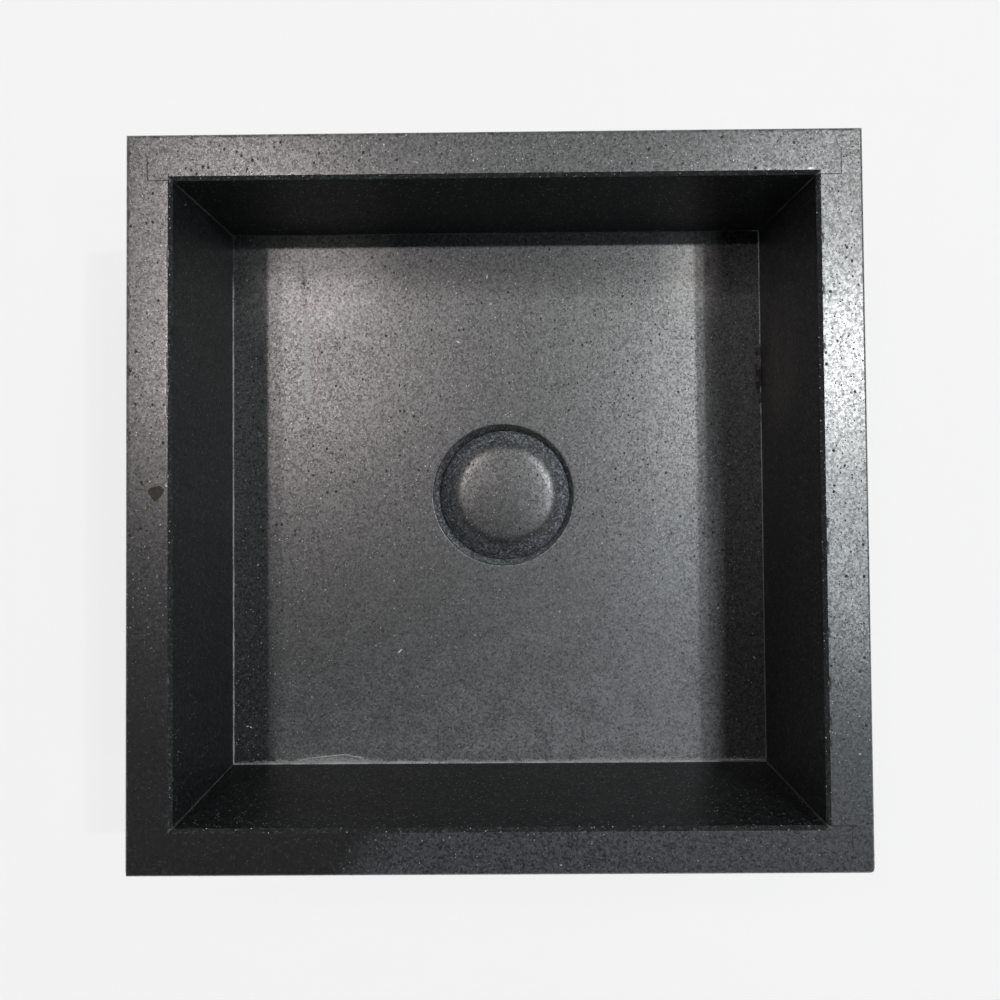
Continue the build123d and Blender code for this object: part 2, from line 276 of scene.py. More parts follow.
# The stone's patterns in cells to the metre, and the radii of the largest spots as a share of a cell
GRAINS = 880
FINE_GRAINS = 1150
FILM_GRAINS = 900
SMALL_SPOTS = 620
LARGE_SPOTS = 330
LARGEST_FLECK = 0.26
LARGEST_PIT = 0.34


def stone(name, roughness, polish, ground, marks=None):
    """Honed dark granite: grains of many tones and gloss, dark pits and light flecks.
    polish is the gloss of the best polished grains, ground takes the graph and gives where the stone is
    ground and not honed and its colour there, which holds painted light for the drain and the cap, and marks
    gives what lies on it and its painted light and shade, each as a mask, a colour and the share of the gloss
    that it takes."""
    graph = Graph(name)
    pick, size = graph.cells(GRAINS, graph.drifted(420, 0.5 * MM))[1:]
    other_pick, other_size = graph.cells(FINE_GRAINS, graph.moved(0.43, 0.29, 0.37))[1:]
    mottle = graph.noise(430, 3.0, 0.6)
    cloud = graph.noise(16, 3.0, 0.55)
    tone = graph.plus(graph.math("POWER", pick, 5.0), graph.math("POWER", other_pick, 7.0))
    tone = graph.times(tone, graph.remap(mottle, 0.35, 0.65, 0.55, 1.45))
    colour = graph.mix(graph.times(tone, LIGHT_SHARE), STONE_DARK, STONE_LIGHT)
    flecks = graph.highest(
        graph.blobs(SMALL_SPOTS, 0.20, LARGEST_FLECK, graph.moved(0.31, 0.17, 0.05)),
        graph.blobs(LARGE_SPOTS, 0.05, 0.20, graph.moved(0.02, 0.37, 0.25)),
    )
    pits = graph.highest(
        graph.blobs(SMALL_SPOTS, 0.32, LARGEST_PIT, graph.moved(0.11, 0.23, 0.41)),
        graph.blobs(LARGE_SPOTS, 0.17, LARGEST_PIT, graph.stretched((1, 0.85, 1), (0.07, 0.13, 0.19))),
    )
    rough_part, ground_colour = ground(graph)
    colour = graph.mix(rough_part, colour, graph.scaled(ground_colour, graph.remap(tone, 0, 1, 0.45, 2.40)))
    colour = graph.mix(flecks, colour, FLECK_GREY)
    colour = graph.mix(graph.times(pits, 0.95), colour, PIT_GREY)
    level = graph.remap(size, 0, 1, roughness + 0.05, roughness - 0.05)
    level = graph.plus(level, graph.remap(cloud, 0.3, 0.7, 0.015, -0.015))
    unpolished = graph.highest(pits, rough_part)
    level = graph.highest(level, graph.times(unpolished, GROUND_ROUGHNESS))
    clean = graph.minus(1.0, unpolished)
    for mask, mark_colour, dulls in marks(graph) if marks else ():
        colour = graph.mix(mask, colour, mark_colour)
        dulled = graph.times(mask, dulls)
        level = graph.plus(level, graph.times(dulled, 0.15))
        clean = graph.times(clean, graph.minus(1.0, dulled))
    gloss = graph.plus(graph.times(size, 0.6), graph.times(other_size, 0.4))
    gloss = graph.remap(gloss, 0.15, 0.85, 0.2 * polish, polish)
    graph.set(Base_Color=colour, Roughness=level, Coat_Weight=graph.times(gloss, clean))
    graph.set(IOR=1.5 if polish else 1.38, Coat_Roughness=roughness, Coat_IOR=GRAIN_IOR)
    graph.bump(graph.minus(graph.plus(graph.times(size, 0.25), graph.times(mottle, 0.55)), pits), 0.06 * MM)
    return graph.material


def sawn_underside(graph):
    """The underside, left as it was sawn."""
    return graph.along("Z", 0.3 * MM, 0.6 * MM, 1.0, 0.0), grey(0.085)


def ground_drain_with_painted_light(graph):
    """The drain's recess and everything below it, left as it was ground, and made paler at its left and front
    by painted light.
    """
    low = graph.along("Z", FLOOR_Z - 0.9 * MM, FLOOR_Z - 0.4 * MM, 1.0, 0.0)
    # Painted light: the ground stone is paler at the left and front, where light falls on the recess
    painted_light_side = graph.remap(graph.plus(graph.axis("X"), graph.axis("Y")), 0.030, -0.040)
    return low, graph.mix(painted_light_side, grey(0.042, STONE_TINT), STONE_LIGHT)


def ground_shoulder_with_painted_light(graph):
    """The cap's under side and shoulder, left as ground, and made paler at the right and back by painted
    light.
    """
    low = graph.along("Z", cap_high.z - 1.5 * MM, cap_high.z - 4.5 * MM, 0.0, 0.85)
    side = graph.plus(graph.axis("X"), graph.times(graph.axis("Y"), 0.6))
    # Painted light: the shoulder is paler at the right and back, where light falls on it
    painted_light_side = graph.remap(side, -0.040, 0.045)
    return low, graph.mix(painted_light_side, grey(0.070, COOL_GREY), grey(0.190, COOL_GREY))


# Light specks as x, y, length, width and angle in degrees
FLOOR_SPECKS = [
    (-0.0056, 0.1457, 0.0028, 0.0010, 80),
    (-0.0031, 0.1276, 0.0020, 0.0014, 30),
    (-0.0252, 0.1025, 0.0032, 0.0011, 150),
    (-0.1058, 0.0599, 0.0020, 0.0010, 95),
    (-0.1585, -0.0442, 0.0018, 0.0009, 60),
    (-0.0154, -0.0913, 0.0014, 0.0012, 0),
    (-0.0649, -0.1015, 0.0042, 0.0009, 42),
    (-0.1656, -0.1502, 0.0022, 0.0008, 20),
    (-0.1634, -0.1508, 0.0024, 0.0008, -38),
    (0.1447, -0.0747, 0.0020, 0.0010, 20),
    (0.0689, -0.0314, 0.0016, 0.0010, 70),
    (0.1321, -0.0332, 0.0016, 0.0011, 10),
]
RIM_SPECKS = [
    (0.1899, -0.0556, 0.0062, 0.0005, 75),
    (-0.1779, 0.0090, 0.0024, 0.0013, 118),
    (0.1928, -0.1369, 0.0018, 0.0012, 20),
    (0.0330, -0.1946, 0.0016, 0.0010, 0),
    (-0.1858, 0.0770, 0.0018, 0.0010, 40),
]

# Streaks on the floor and the rim as their two ends in plan, their width and how soft their sides are
PALE_STREAK = ((-0.1266, 0.1250), (-0.1252, 0.0648), 4.6 * MM, 0.6)
DARK_WEDGE = ((-0.1280, 0.1530), (-0.1266, 0.1230), 4.4 * MM, 0.8)
PALE_RIDGE = ((0.1056, 0.1290), (0.1030, 0.0150), 3.2 * MM, 0.8)
PALE_RUNS = [
    ((0.0340, 0.150), (0.0340, 0.077), 7.0 * MM, 0.9),
    ((0.0560, 0.153), (0.0560, 0.103), 7.0 * MM, 0.9),
    ((0.0746, 0.156), (0.0746, 0.103), 7.0 * MM, 0.9),
]
FILLER_SMEAR = ((-0.1838, 0.0110), (-0.1774, 0.0121), 1.8 * MM, 0.6)

# The stretch of the right joint that is chipped, and the sides of the pale haze of painted light at the
# front, which follow the walls' shadow edges on the floor
CHIPPED_FRONT, CHIPPED_BACK = 0.0510, 0.0965
PAINTED_LIGHT_LEFT, PAINTED_LIGHT_RIGHT = -0.149, 0.1445


def speck_mask(graph, specks):
    masks = []
    for x, y, length, width, angle in specks:
        reach = Vector((math.cos(math.radians(angle)), math.sin(math.radians(angle)))) * (length - width) / 2
        masks.append(graph.stroke(Vector((x, y)) - reach, Vector((x, y)) + reach, width))
    return graph.highest(*masks)


def chipped_stretch(graph):
    """The stretch of the right joint where the filler and its edges have broken out, in ragged patches."""
    ragged = graph.remap(graph.noise(210, 3.0, 0.65), 0.44, 0.52)
    return graph.times(graph.band("Y", CHIPPED_FRONT, CHIPPED_BACK, 1.5 * MM), ragged)


def wall_painted_light_and_shade(graph):
    """A faint brown painted reflection low on the right wall, and painted shade in the chipped gap below it.
    """
    right = graph.along("X", 0.1600, 0.1650)
    # Painted reflection: a faint brown patch low on the right wall, where the floor's highlights show in it
    painted_reflection = graph.times(right, graph.band("Y", 0.060, 0.104, 0.026), graph.band("Z", 0.050, 0.092, 0.026))
    painted_reflection = graph.times(painted_reflection, graph.remap(graph.noise(48, 3.0, 0.6), 0.38, 0.62, 0.25, 1.0))
    foot = graph.along("Z", FLOOR_Z + 1.2 * MM, FLOOR_Z + 5.0 * MM, 1.0, 0.0)
    # Painted shade: near black in the chipped stretch of the right joint, low on the wall
    painted_gap_shade = graph.times(right, foot, chipped_stretch(graph))
    return [(graph.speckled(painted_reflection, 0.15, 0.75), (0.190, 0.150, 0.132, 1), 0.0), (painted_gap_shade, grey(0.001), 0.0)]


def lime_crust(graph, broken):
    """Ragged crust along the front joint, wider at two humps."""
    top = graph.plus(
        graph.remap(graph.noise(130, 4.0, 0.7), 0.35, 0.65, 1.1 * MM, 3.4 * MM),
        graph.times(graph.band("X", -0.1310, -0.0880, 0.018), 3.6 * MM),
        graph.times(graph.band("X", 0.060, 0.120, 0.020), 1.4 * MM),
    )
    height = graph.math("DIVIDE", graph.plus(graph.axis("Y"), INNER), top)
    ragged = graph.plus(height, graph.remap(broken, 0.3, 0.7, -0.75, 0.75))
    crust = graph.remap(ragged, 0.55, 0.95, 1.0, 0.0)
    return graph.times(crust, graph.band("X", -0.1700, 0.1700, 0.008), 0.75)


def floor_marks_and_painted_light(graph):
    """Painted light as a pale haze at the front of the floor, painted highlights at its back corners and in a
    band at its right, painted shade in the chipped gap of the right joint, pale streaks, the crust along the
    front joint and a few light specks.
    """
    broken = graph.noise(900, 3.0, 0.65)
    strands = graph.noise(1.0, 3.0, 0.6, graph.stretched((420, 20, 60)))
    patchy = graph.remap(graph.noise(60, 4.0, 0.6), 0.35, 0.65, 0.7, 1.2)
    # Painted shade: near black on the floor beside the chipped stretch of the right joint
    painted_gap_shade = graph.times(graph.along("X", 0.1708, 0.1722), chipped_stretch(graph))
    streak = graph.times(graph.stroke(*PALE_STREAK), graph.remap(broken, 0.40, 0.60, 0.30, 1.0))
    wedge = graph.times(graph.stroke(*DARK_WEDGE), graph.remap(broken, 0.40, 0.56, 0.75, 0.0))
    ridge = graph.times(graph.stroke(*PALE_RIDGE), graph.remap(broken, 0.44, 0.56, 0.05, 0.50))
    # Painted highlight: a faint pale band at the right of the floor, up to the right wall's shadow edge
    painted_highlight_band = graph.times(graph.band("X", 0.1050, 0.140, 0.008), graph.band("Y", -0.01, 0.166, 0.008))
    painted_highlight_band = graph.times(painted_highlight_band, graph.remap(strands, 0.35, 0.70, 0.04, 0.16))
    runs = graph.highest(*[graph.stroke(*run) for run in PALE_RUNS])
    runs = graph.times(runs, graph.remap(strands, 0.35, 0.60, 0.0, 0.12))
    # Painted light: a pale haze over the front of the floor, between the walls' shadow edges
    front = graph.times(graph.band("X", PAINTED_LIGHT_LEFT, PAINTED_LIGHT_RIGHT, 4 * MM), graph.along("Y", 0.010, -0.150))
    front = graph.times(front, graph.along("X", -0.130, 0.130, 0.24, 0.60), patchy)
    # Painted highlights: pale patches at the back corners of the floor, where the lamps' highlights fall
    back_left = graph.times(graph.band("X", -0.147, -0.085, 0.022), graph.band("Y", 0.120, 0.170, 0.022))
    back_right = graph.times(graph.band("X", 0.118, 0.140, 0.012), graph.band("Y", 0.125, 0.168, 0.012))
    back = graph.times(graph.highest(back_left, back_right), patchy)
    return [
        (painted_gap_shade, grey(0.0015), 1.0),
        # painted light over the front of the floor
        (graph.speckled(front, 0.3, 2.2), grey(0.17, (0.94, 1.0, 1.04)), 0.1),
        # painted highlights at the back corners of the floor
        (graph.speckled(back, 0.1, 1.3), grey(0.36, (1.10, 1.0, 0.97)), 0.1),
        (wedge, grey(0.003), 1.0),
        (streak, grey(0.50), 1.0),
        (graph.highest(ridge, painted_highlight_band, runs), grey(0.30), 0.5),
        (lime_crust(graph, broken), grey(0.36, (0.96, 1.0, 1.0)), 1.0),
        (speck_mask(graph, FLOOR_SPECKS), grey(0.75), 1.0),
    ]


def rim_marks_and_painted_light(graph):
    """Light specks, a smear of filler beside the chip, a paler zone at the front as a painted reflection and
    a darker, duller front-left corner as painted shade.
    """
    high = graph.along("Z", RIM_Z - 0.5 * MM, RIM_Z - 0.3 * MM)
    slant = graph.plus(graph.axis("X"), graph.times(graph.axis("Y"), -0.9))
    # Painted reflection: a paler, cool zone on the front rim, to the right
    painted_reflection = graph.times(graph.remap(slant, 0.085, 0.115), graph.along("Y", -0.10, -0.16), high)
    # Painted shade: the front-left rim is darker and duller
    painted_corner_shade = graph.times(graph.remap(slant, 0.110, 0.080), graph.along("Y", -0.030, -0.120), high, 0.85)
    smear = graph.times(graph.stroke(*FILLER_SMEAR), high, 0.8)
    specks = graph.times(speck_mask(graph, RIM_SPECKS), high)
    return [
        (painted_corner_shade, grey(0.004), 0.7),
        (graph.speckled(painted_reflection, 0.0, 1.0), grey(0.070, COOL_GREY), 0.1),
        (smear, grey(0.15), 1.0),
        (specks, grey(0.60), 1.0),
    ]


def broken_stone():
    """Raw broken face with an iron stain."""
    graph = Graph("stone_break")
    patches = graph.noise(700, 4.0, 0.65)
    grit = graph.noise(3200, 2.0, 0.6)
    colour = graph.mix(graph.remap(patches, 0.35, 0.65), (0.018, 0.015, 0.011, 1), (0.040, 0.033, 0.024, 1))
    colour = graph.mix(graph.times(graph.blobs(900, 0.2, 0.2), 0.4), colour, grey(0.07))
    graph.set(Base_Color=colour, Roughness=graph.remap(grit, 0.3, 0.7, 0.62, 0.85))
    graph.bump(graph.plus(patches, graph.times(grit, 0.4)), 0.12 * MM)
    return graph.material


def glue(name, pale, dark, share, roughness, where):
    """Cured joint filler with crusty residue. where takes the graph and gives how pale each place is."""
    graph = Graph(name)
    crust = graph.noise(900, 4.0, 0.7)
    runs = graph.remap(graph.noise(90, 3.0, 0.6), 0.35, 0.65, share - 0.5, share)
    tone = graph.times(graph.math("ADD", graph.remap(crust, 0.35, 0.65), runs, clamp=True), where(graph))
    crumbs = graph.times(graph.blobs(1300, 0.35, 0.40), where(graph))
    colour = graph.mix(graph.times(crumbs, 0.5), graph.mix(tone, dark, pale), grey(0.62))
    graph.set(Base_Color=colour, Roughness=graph.remap(crust, 0.3, 0.7, roughness, roughness + 0.3))
    graph.bump(graph.plus(crust, graph.times(crumbs, 0.7)), 0.10 * MM)
    return graph.material


def pale_filler_and_painted_shade(graph):
    """Along the floor, the filler is pale at the front and left, and at the right it darkens to the front.
    Painted shade darkens it at the right end of the front, past the right wall's shadow edge, and at the back
    end of the left side, where the back wall's shadow falls.
    """
    # Painted shade: the front filler darkens past the right wall's shadow edge
    front = graph.times(graph.along("Y", -0.1655, -0.1670), graph.along("X", 0.1420, 0.1460, 1.0, 0.15))
    # Painted shade: the left filler darkens at its back end, in the back wall's shadow
    left = graph.times(graph.along("X", -0.1700, -0.1715), graph.along("Y", 0.150, 0.135))
    right = graph.times(graph.along("X", 0.1700, 0.1715), graph.along("Y", -0.070, 0.090, 0.12, 1.0))
    return graph.highest(front, left, right, 0.02)


def where_exposed(graph):
    """In the corners, the filler is darker at the rim and in most of its length, with paler runs."""
    runs = graph.remap(graph.noise(45, 2.0, 0.5), 0.50, 0.66, 0.10, 0.60)
    return graph.times(runs, graph.along("Z", RIM_Z - 4 * MM, RIM_Z - 9 * MM, 0.10, 1.0))


def metal(name, colour, stain, roughness, grain=(60, 60, 5200)):
    """Machined metal with fine tool marks, a little tarnish and dried spots."""
    graph = Graph(name)
    marks = graph.noise(1.0, 2.0, 0.5, graph.stretched(grain))
    tarnish = graph.remap(graph.noise(110, 4.0, 0.65), 0.48, 0.72, 0.0, 0.75)
    spots = graph.blobs(260, 0.25, 0.30, soft=0.7)
    mask = graph.math("ADD", tarnish, graph.times(spots, 0.25), clamp=True)
    graph.set(Base_Color=graph.mix(mask, colour, stain), Metallic=1.0)
    level = graph.remap(marks, 0.3, 0.7, roughness - 0.05, roughness + 0.07)
    graph.set(Roughness=graph.plus(level, graph.times(mask, 0.18)))
    graph.bump(marks, 0.006 * MM)
    return graph.material


def chrome():
    """Bright plating with hairline scratches and dried water spots."""
    graph = Graph("chrome_plating")
    hairs = graph.noise(1.0, 3.0, 0.6, graph.stretched((180, 2600, 180)))
    ripple = graph.noise(55, 2.0, 0.5)
    spots = graph.blobs(210, 0.30, 0.28, soft=0.6)
    mask = graph.math("MULTIPLY", graph.times(spots, graph.minus(1.0, spots)), 2.4, clamp=True)
    graph.set(Base_Color=graph.mix(mask, (0.60, 0.61, 0.63, 1), (0.44, 0.44, 0.43, 1)), Metallic=1.0)
    graph.set(Roughness=graph.plus(graph.remap(hairs, 0.45, 0.75, 0.07, 0.20), graph.times(mask, 0.30)))
    graph.bump(graph.plus(ripple, graph.times(hairs, 0.1)), 0.02 * MM)
    return graph.material


def rubber():
    """Black rubber with moulding bloom and dust."""
    graph = Graph("black_rubber")
    bloom = graph.noise(140, 4.0, 0.6)
    dust = graph.noise(2600, 2.0, 0.6)
    colour = graph.mix(graph.remap(bloom, 0.42, 0.70, 0.0, 0.55), grey(0.018), grey(0.050, (1.0, 0.99, 0.96)))
    colour = graph.mix(graph.times(graph.blobs(900, 0.12, 0.22), 0.6), colour, grey(0.20))
    graph.set(Base_Color=colour, Roughness=graph.remap(dust, 0.3, 0.7, 0.55, 0.78))
    graph.bump(graph.plus(dust, graph.times(bloom, 0.8)), 0.03 * MM)
    return graph.material


def plastic(name, colour, shade, roughness):
    """Moulded plastic with a faint flow pattern, scuffs and a fine texture."""
    graph = Graph(name)
    flow = graph.noise(45, 3.0, 0.6)
    scuffs = graph.noise(1.0, 3.0, 0.6, graph.stretched((240, 1500, 700)))
    base = graph.mix(graph.remap(flow, 0.35, 0.68), colour, shade)
    base = graph.mix(graph.remap(scuffs, 0.60, 0.80, 0.0, 0.4), base, grey(0.45))
    graph.set(Base_Color=base, Roughness=graph.remap(scuffs, 0.35, 0.7, roughness - 0.06, roughness + 0.14))
    graph.bump(graph.plus(graph.noise(3400, 1.0, 0.5), graph.times(flow, 0.5)), 0.012 * MM)
    return graph.material


wall_stone = stone("wall_stone", 0.31, 0.85, sawn_underside, rim_marks_and_painted_light)
dull_stone = stone("dull_stone", 0.52, 0.0, sawn_underside, wall_painted_light_and_shade)
floor_stone = stone("floor_stone", 0.36, 1.0, ground_drain_with_painted_light, floor_marks_and_painted_light)
cap_stone = stone("cap_stone", 0.35, 1.0, ground_shoulder_with_painted_light)
break_stone = broken_stone()
floor_glue = glue("floor_glue", (0.42, 0.44, 0.44, 1), grey(0.028), 0.55, 0.42, pale_filler_and_painted_shade)
corner_glue = glue("corner_glue", (0.105, 0.100, 0.088, 1), grey(0.012), 0.5, 0.28, where_exposed)
chrome_plating = chrome()
nut_brass = metal("nut_brass", (0.60, 0.44, 0.20, 1), (0.24, 0.16, 0.08, 1), 0.26)
stem_brass = metal("stem_brass", (0.64, 0.49, 0.24, 1), (0.33, 0.22, 0.11, 1), 0.20)
stem_steel = metal("stem_steel", (0.54, 0.55, 0.56, 1), (0.32, 0.31, 0.30, 1), 0.28)
spring_steel = metal("spring_steel", (0.48, 0.49, 0.50, 1), (0.30, 0.29, 0.28, 1), 0.24, grain=(4200, 70, 70))
black_rubber = rubber()
washer_plastic = plastic("washer_plastic", (0.74, 0.75, 0.73, 1), (0.66, 0.67, 0.65, 1), 0.40)
latch_plastic = plastic("latch_plastic", (0.66, 0.67, 0.66, 1), (0.58, 0.59, 0.58, 1), 0.36)
adhesive_grey = plastic("adhesive_grey", (0.27, 0.27, 0.26, 1), (0.20, 0.20, 0.19, 1), 0.55)


# Mesh building

# How many points the rings of each kind of piece have
FLOOR_POINTS = 512
CAP_POINTS = 256
NUT_POINTS = 144
TURNED_POINTS = 96
HUB_POINTS = 72


def even_shading(piece):
    """Let the large flat faces set the shading of the narrow ones beside them."""
    piece.modifiers.new("flat_faces", "WEIGHTED_NORMAL").keep_sharp = True


def mesh_object(name, bm, material, smooth=True):
    """Turn a bmesh into an object of the scene."""
    for face in bm.faces:
        face.smooth = smooth
    mesh = bpy.data.meshes.new(name)
    bm.to_mesh(mesh)
    bm.free()
    mesh.materials.append(material)
    made = bpy.data.objects.new(name, mesh)
    bpy.context.scene.collection.objects.link(made)
    return made


def add_piece(name, bm, material, body, nodes, sharp=35.0):
    """Make a piece from a bmesh, ride it on its body and let it stand for its CAD nodes."""
    bmesh.ops.recalc_face_normals(bm, faces=bm.faces)
    piece = mesh_object(name, bm, material)
    piece.data.set_sharp_from_angle(angle=math.radians(sharp))
    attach(piece, body)
    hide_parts(*nodes)
    return piece


def add_rings(bm, rings, loop=False, flat_ends=False, first_pole=None, last_pole=None):
    """Skin a run of closed rings of points. loop joins the last ring to the first, and flat faces or poles
    close the ends."""
    rows = [[bm.verts.new(point) for point in ring] for ring in rings]
    pairs = list(zip(rows, rows[1:]))
    if loop:
        pairs.append((rows[-1], rows[0]))
    count = len(rows[0])
    for low, high in pairs:
        for k in range(count):
            j = (k + 1) % count
            bm.faces.new((low[k], low[j], high[j], high[k]))
    for row, pole in ((rows[0], first_pole), (rows[-1], last_pole)):
        if flat_ends:
            bm.faces.new(row)
        if pole is None:
            continue
        tip = bm.verts.new(pole)
        for k in range(count):
            bm.faces.new((row[k], row[(k + 1) % count], tip))


def skin_piece(name, rings, material, slot, nodes, sharp=35.0, body=BASIN, **ends):
    """Make a piece whose surface is one run of rings."""
    bm = bmesh.new()
    add_rings(bm, rings, **ends)
    add_piece(name, bm, material, body, nodes, sharp)


def circle(radius, height, angles, centre=(DRAIN_X, DRAIN_Y)):
    """Ring of points; radius is a number or a function of the angle."""
    points = []
    for angle in angles:
        r = radius(angle) if callable(radius) else radius
        points.append((centre[0] + r * math.cos(angle), centre[1] + r * math.sin(angle), height))
    return points


def rounded(profile, radius, steps=3):
    """An open or closed profile of (radius, height) with each marked corner rounded.
    Each entry is (r, z) for a sharp corner or (r, z, share) for one rounded by share times radius."""
    out = []
    count = len(profile)
    for k, corner in enumerate(profile):
        r, z = corner[:2]
        share = corner[2] if len(corner) > 2 else 0
        if not share:
            out.append((r, z))
            continue
        here = Vector((r, z))
        before = Vector(profile[k - 1][:2]) - here
        after = Vector(profile[(k + 1) % count][:2]) - here
        start = here + before.normalized() * radius * share
        end = here + after.normalized() * radius * share
        for step in range(steps + 1):
            t = step / steps
            point = start * (1 - t) ** 2 + here * 2 * t * (1 - t) + end * t**2
            out.append((point.x, point.y))
    return out


def frame_copy(node):
    """A CAD node's solid as a bmesh of flat polygons, to be worked on as a new piece."""
    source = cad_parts[node].data
    plain = bpy.data.meshes.new("plain")
    plain.from_pydata([v.co for v in source.vertices], [], [list(p.vertices) for p in source.polygons])
    bm = bmesh.new()
    bm.from_mesh(plain)
    bpy.data.meshes.remove(plain)
    bmesh.ops.remove_doubles(bm, verts=bm.verts, dist=0.002 * MM)
    bmesh.ops.dissolve_limit(bm, angle_limit=math.radians(1), verts=bm.verts, edges=bm.edges)
    return bm


# Stone slabs

# The edges' rounding, the steps in which they are cut to be worn, how far beside an edge the cuts go, the
# wear, the depth of a nick, the noise above which it starts, and the length under which an edge stays sharp
EDGE_ROUND = 0.36 * MM
SLICE = 1.4 * MM
BESIDE = 1.6 * MM
WEAR = 0.06 * MM
NICK = 0.22 * MM
NICK_FROM = 0.38
SHORT_EDGE = 5 * MM


def on_mitre(point, reach):
    """Whether a point lies within reach of one of the four mitre planes at the outer corners."""
    return abs(abs(point.x) - abs(point.y)) < reach and abs(point.x) > LIP - reach


def in_joint(point):
    """Whether a point lies at one of the four stepped corner joints, where the slabs are honed as one."""
    across, along = abs(point.x), abs(point.y)
    return min(across, along) > INNER - 0.5 * MM and max(across, along) < LIP + 0.3 * MM


def eased_edges(bm):
    """Round over the long outer edges."""
    chosen = [
        edge
        for edge in bm.edges
        if edge.is_manifold
        and edge.is_convex
        and edge.calc_length() > SHORT_EDGE
        and edge.calc_face_angle() > math.radians(20)
        and not all(on_mitre(v.co, 0.1 * MM) for v in edge.verts)
        and not all(in_joint(v.co) for v in edge.verts)
    ]
    bmesh.ops.bevel(
        bm, geom=chosen, offset=EDGE_ROUND, offset_type="OFFSET", segments=3, profile=0.5,
        affect="EDGES", clamp_overlap=False,
    )


def sliced(bm, axis, places):
    """Cut a mesh by planes square to an axis, so that its edges can be worn."""
    normal = Vector([1.0 if k == axis else 0.0 for k in range(3)])
    for place in places:
        geometry = bm.verts[:] + bm.edges[:] + bm.faces[:]
        bmesh.ops.bisect_plane(bm, geom=geometry, plane_co=normal * place, plane_no=normal, dist=0.01 * MM)


def worn(bm, nick, shift):
    """Wear the convex edges back into the stone, with small nicks here and there."""
    bm.normal_update()
    moves = []
    for vertex in bm.verts:
        if not vertex.link_faces:
            continue
        spread = max(vertex.normal.angle(face.normal, 0.0) for face in vertex.link_faces)
        if spread < math.radians(9) or on_mitre(vertex.co, 0.3 * MM) or in_joint(vertex.co):
            continue
        amount = WEAR * (0.6 + 0.8 * rough_noise(vertex.co, 900, shift))
        bite = rough_noise(vertex.co, 260, shift + 5)
        if bite > NICK_FROM:
            amount += nick * min(1.0, (bite - NICK_FROM) / 0.25)
        moves.append((vertex, -vertex.normal * max(0.0, amount)))
    for vertex, move in moves:
        vertex.co += move


def spaced(low, high, step):
    count = max(1, round((high - low) / step))
    return [low + (high - low) * k / count for k in range(1, count)]


def stone_wall(node, length_axis, shift, dull_from=0.55, nick=NICK):
    """A wall slab with rounded, worn edges, duller where it leans to the bowl by more than dull_from."""
    bm = frame_copy(node)
    eased_edges(bm)
    low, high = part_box(node)
    across_axis = 1 - length_axis
    sign = 1 if high[across_axis] > 0 else -1
    across = [INNER + BESIDE, INNER + INNER_ARRIS + BESIDE, OUTER - OUTER_ARRIS - BESIDE, OUTER - BESIDE]
    sliced(bm, across_axis, [sign * place for place in across])
    upward = [ROOF_Z + BESIDE, OUTER_ARRIS + BESIDE]
    upward += [RIM_Z - OUTER_ARRIS - BESIDE, RIM_Z - INNER_ARRIS - BESIDE]
    sliced(bm, 2, upward)
    sliced(bm, length_axis, spaced(low[length_axis], high[length_axis], SLICE))
    worn(bm, nick, shift)
    bm.normal_update()
    for face in bm.faces:
        inside = sign * face.calc_center_median()[across_axis] < INNER + INNER_ARRIS + EDGE_ROUND
        face.material_index = 1 if inside and sign * face.normal[across_axis] < -dull_from else 0
    piece = add_piece(node + "_slab", bm, wall_stone, BASIN, [node], sharp=38.0)
    piece.data.materials.append(dull_stone)
    even_shading(piece)
    return piece


stone_wall("back_wall", 0, 0.0)
stone_wall("front_wall", 0, 11.0, dull_from=0.20, nick=0.0)
left_slab = stone_wall("left_wall", 1, 23.0)
stone_wall("right_wall", 1, 37.0)

# The chip in the left rim, with points in metres in the rim's plane
CHIP_OUTLINE = [
    (-0.18770, 0.00650), (-0.18620, 0.00790), (-0.18150, 0.00900), (-0.17870, 0.00670), (-0.18010, 0.00400),
    (-0.18200, 0.00150), (-0.18420, 0.00050), (-0.18560, 0.00230), (-0.18740, 0.00480),
]
CHIP_DEPTH = 0.75 * MM
CHIP_RAGGED = 0.10 * MM
ABOVE_RIM = 1.0 * MM


def chip_cutter():
    """Solid that breaks the chip out of the rim: steep sides and a slightly dished, uneven floor."""
    corners = [Vector((*place, 0)) for place in CHIP_OUTLINE]
    centre = Vector((sum(p[0] for p in CHIP_OUTLINE), sum(p[1] for p in CHIP_OUTLINE), 0)) / len(corners)
    outline = []
    for here, there in zip(corners, corners[1:] + corners[:1]):
        for t in (0.0, 0.33, 0.66):
            point = here.lerp(there, t)
            ragged = CHIP_RAGGED * rough_noise(point, 1500, 3)
            outline.append(point + (point - centre).normalized() * ragged)

    def level(share, depth):
        ring = []
        for point in outline:
            inset = centre.lerp(point, share)
            ring.append((inset.x, inset.y, RIM_Z - depth * (1 + 0.22 * rough_noise(inset, 420, 9))))
        return ring

    bm = bmesh.new()
    add_rings(
        bm,
        [
            level(1.03, -ABOVE_RIM), level(1.0, 0.0), level(0.955, 0.7 * CHIP_DEPTH), level(0.86, CHIP_DEPTH),
            level(0.6, 1.06 * CHIP_DEPTH), level(0.3, 1.12 * CHIP_DEPTH),
        ],
        first_pole=(centre.x, centre.y, RIM_Z + ABOVE_RIM),
        last_pole=(centre.x, centre.y, RIM_Z - 1.15 * CHIP_DEPTH),
    )
    bmesh.ops.recalc_face_normals(bm, faces=bm.faces)
    return mesh_object("chip_cutter", bm, break_stone, smooth=False)


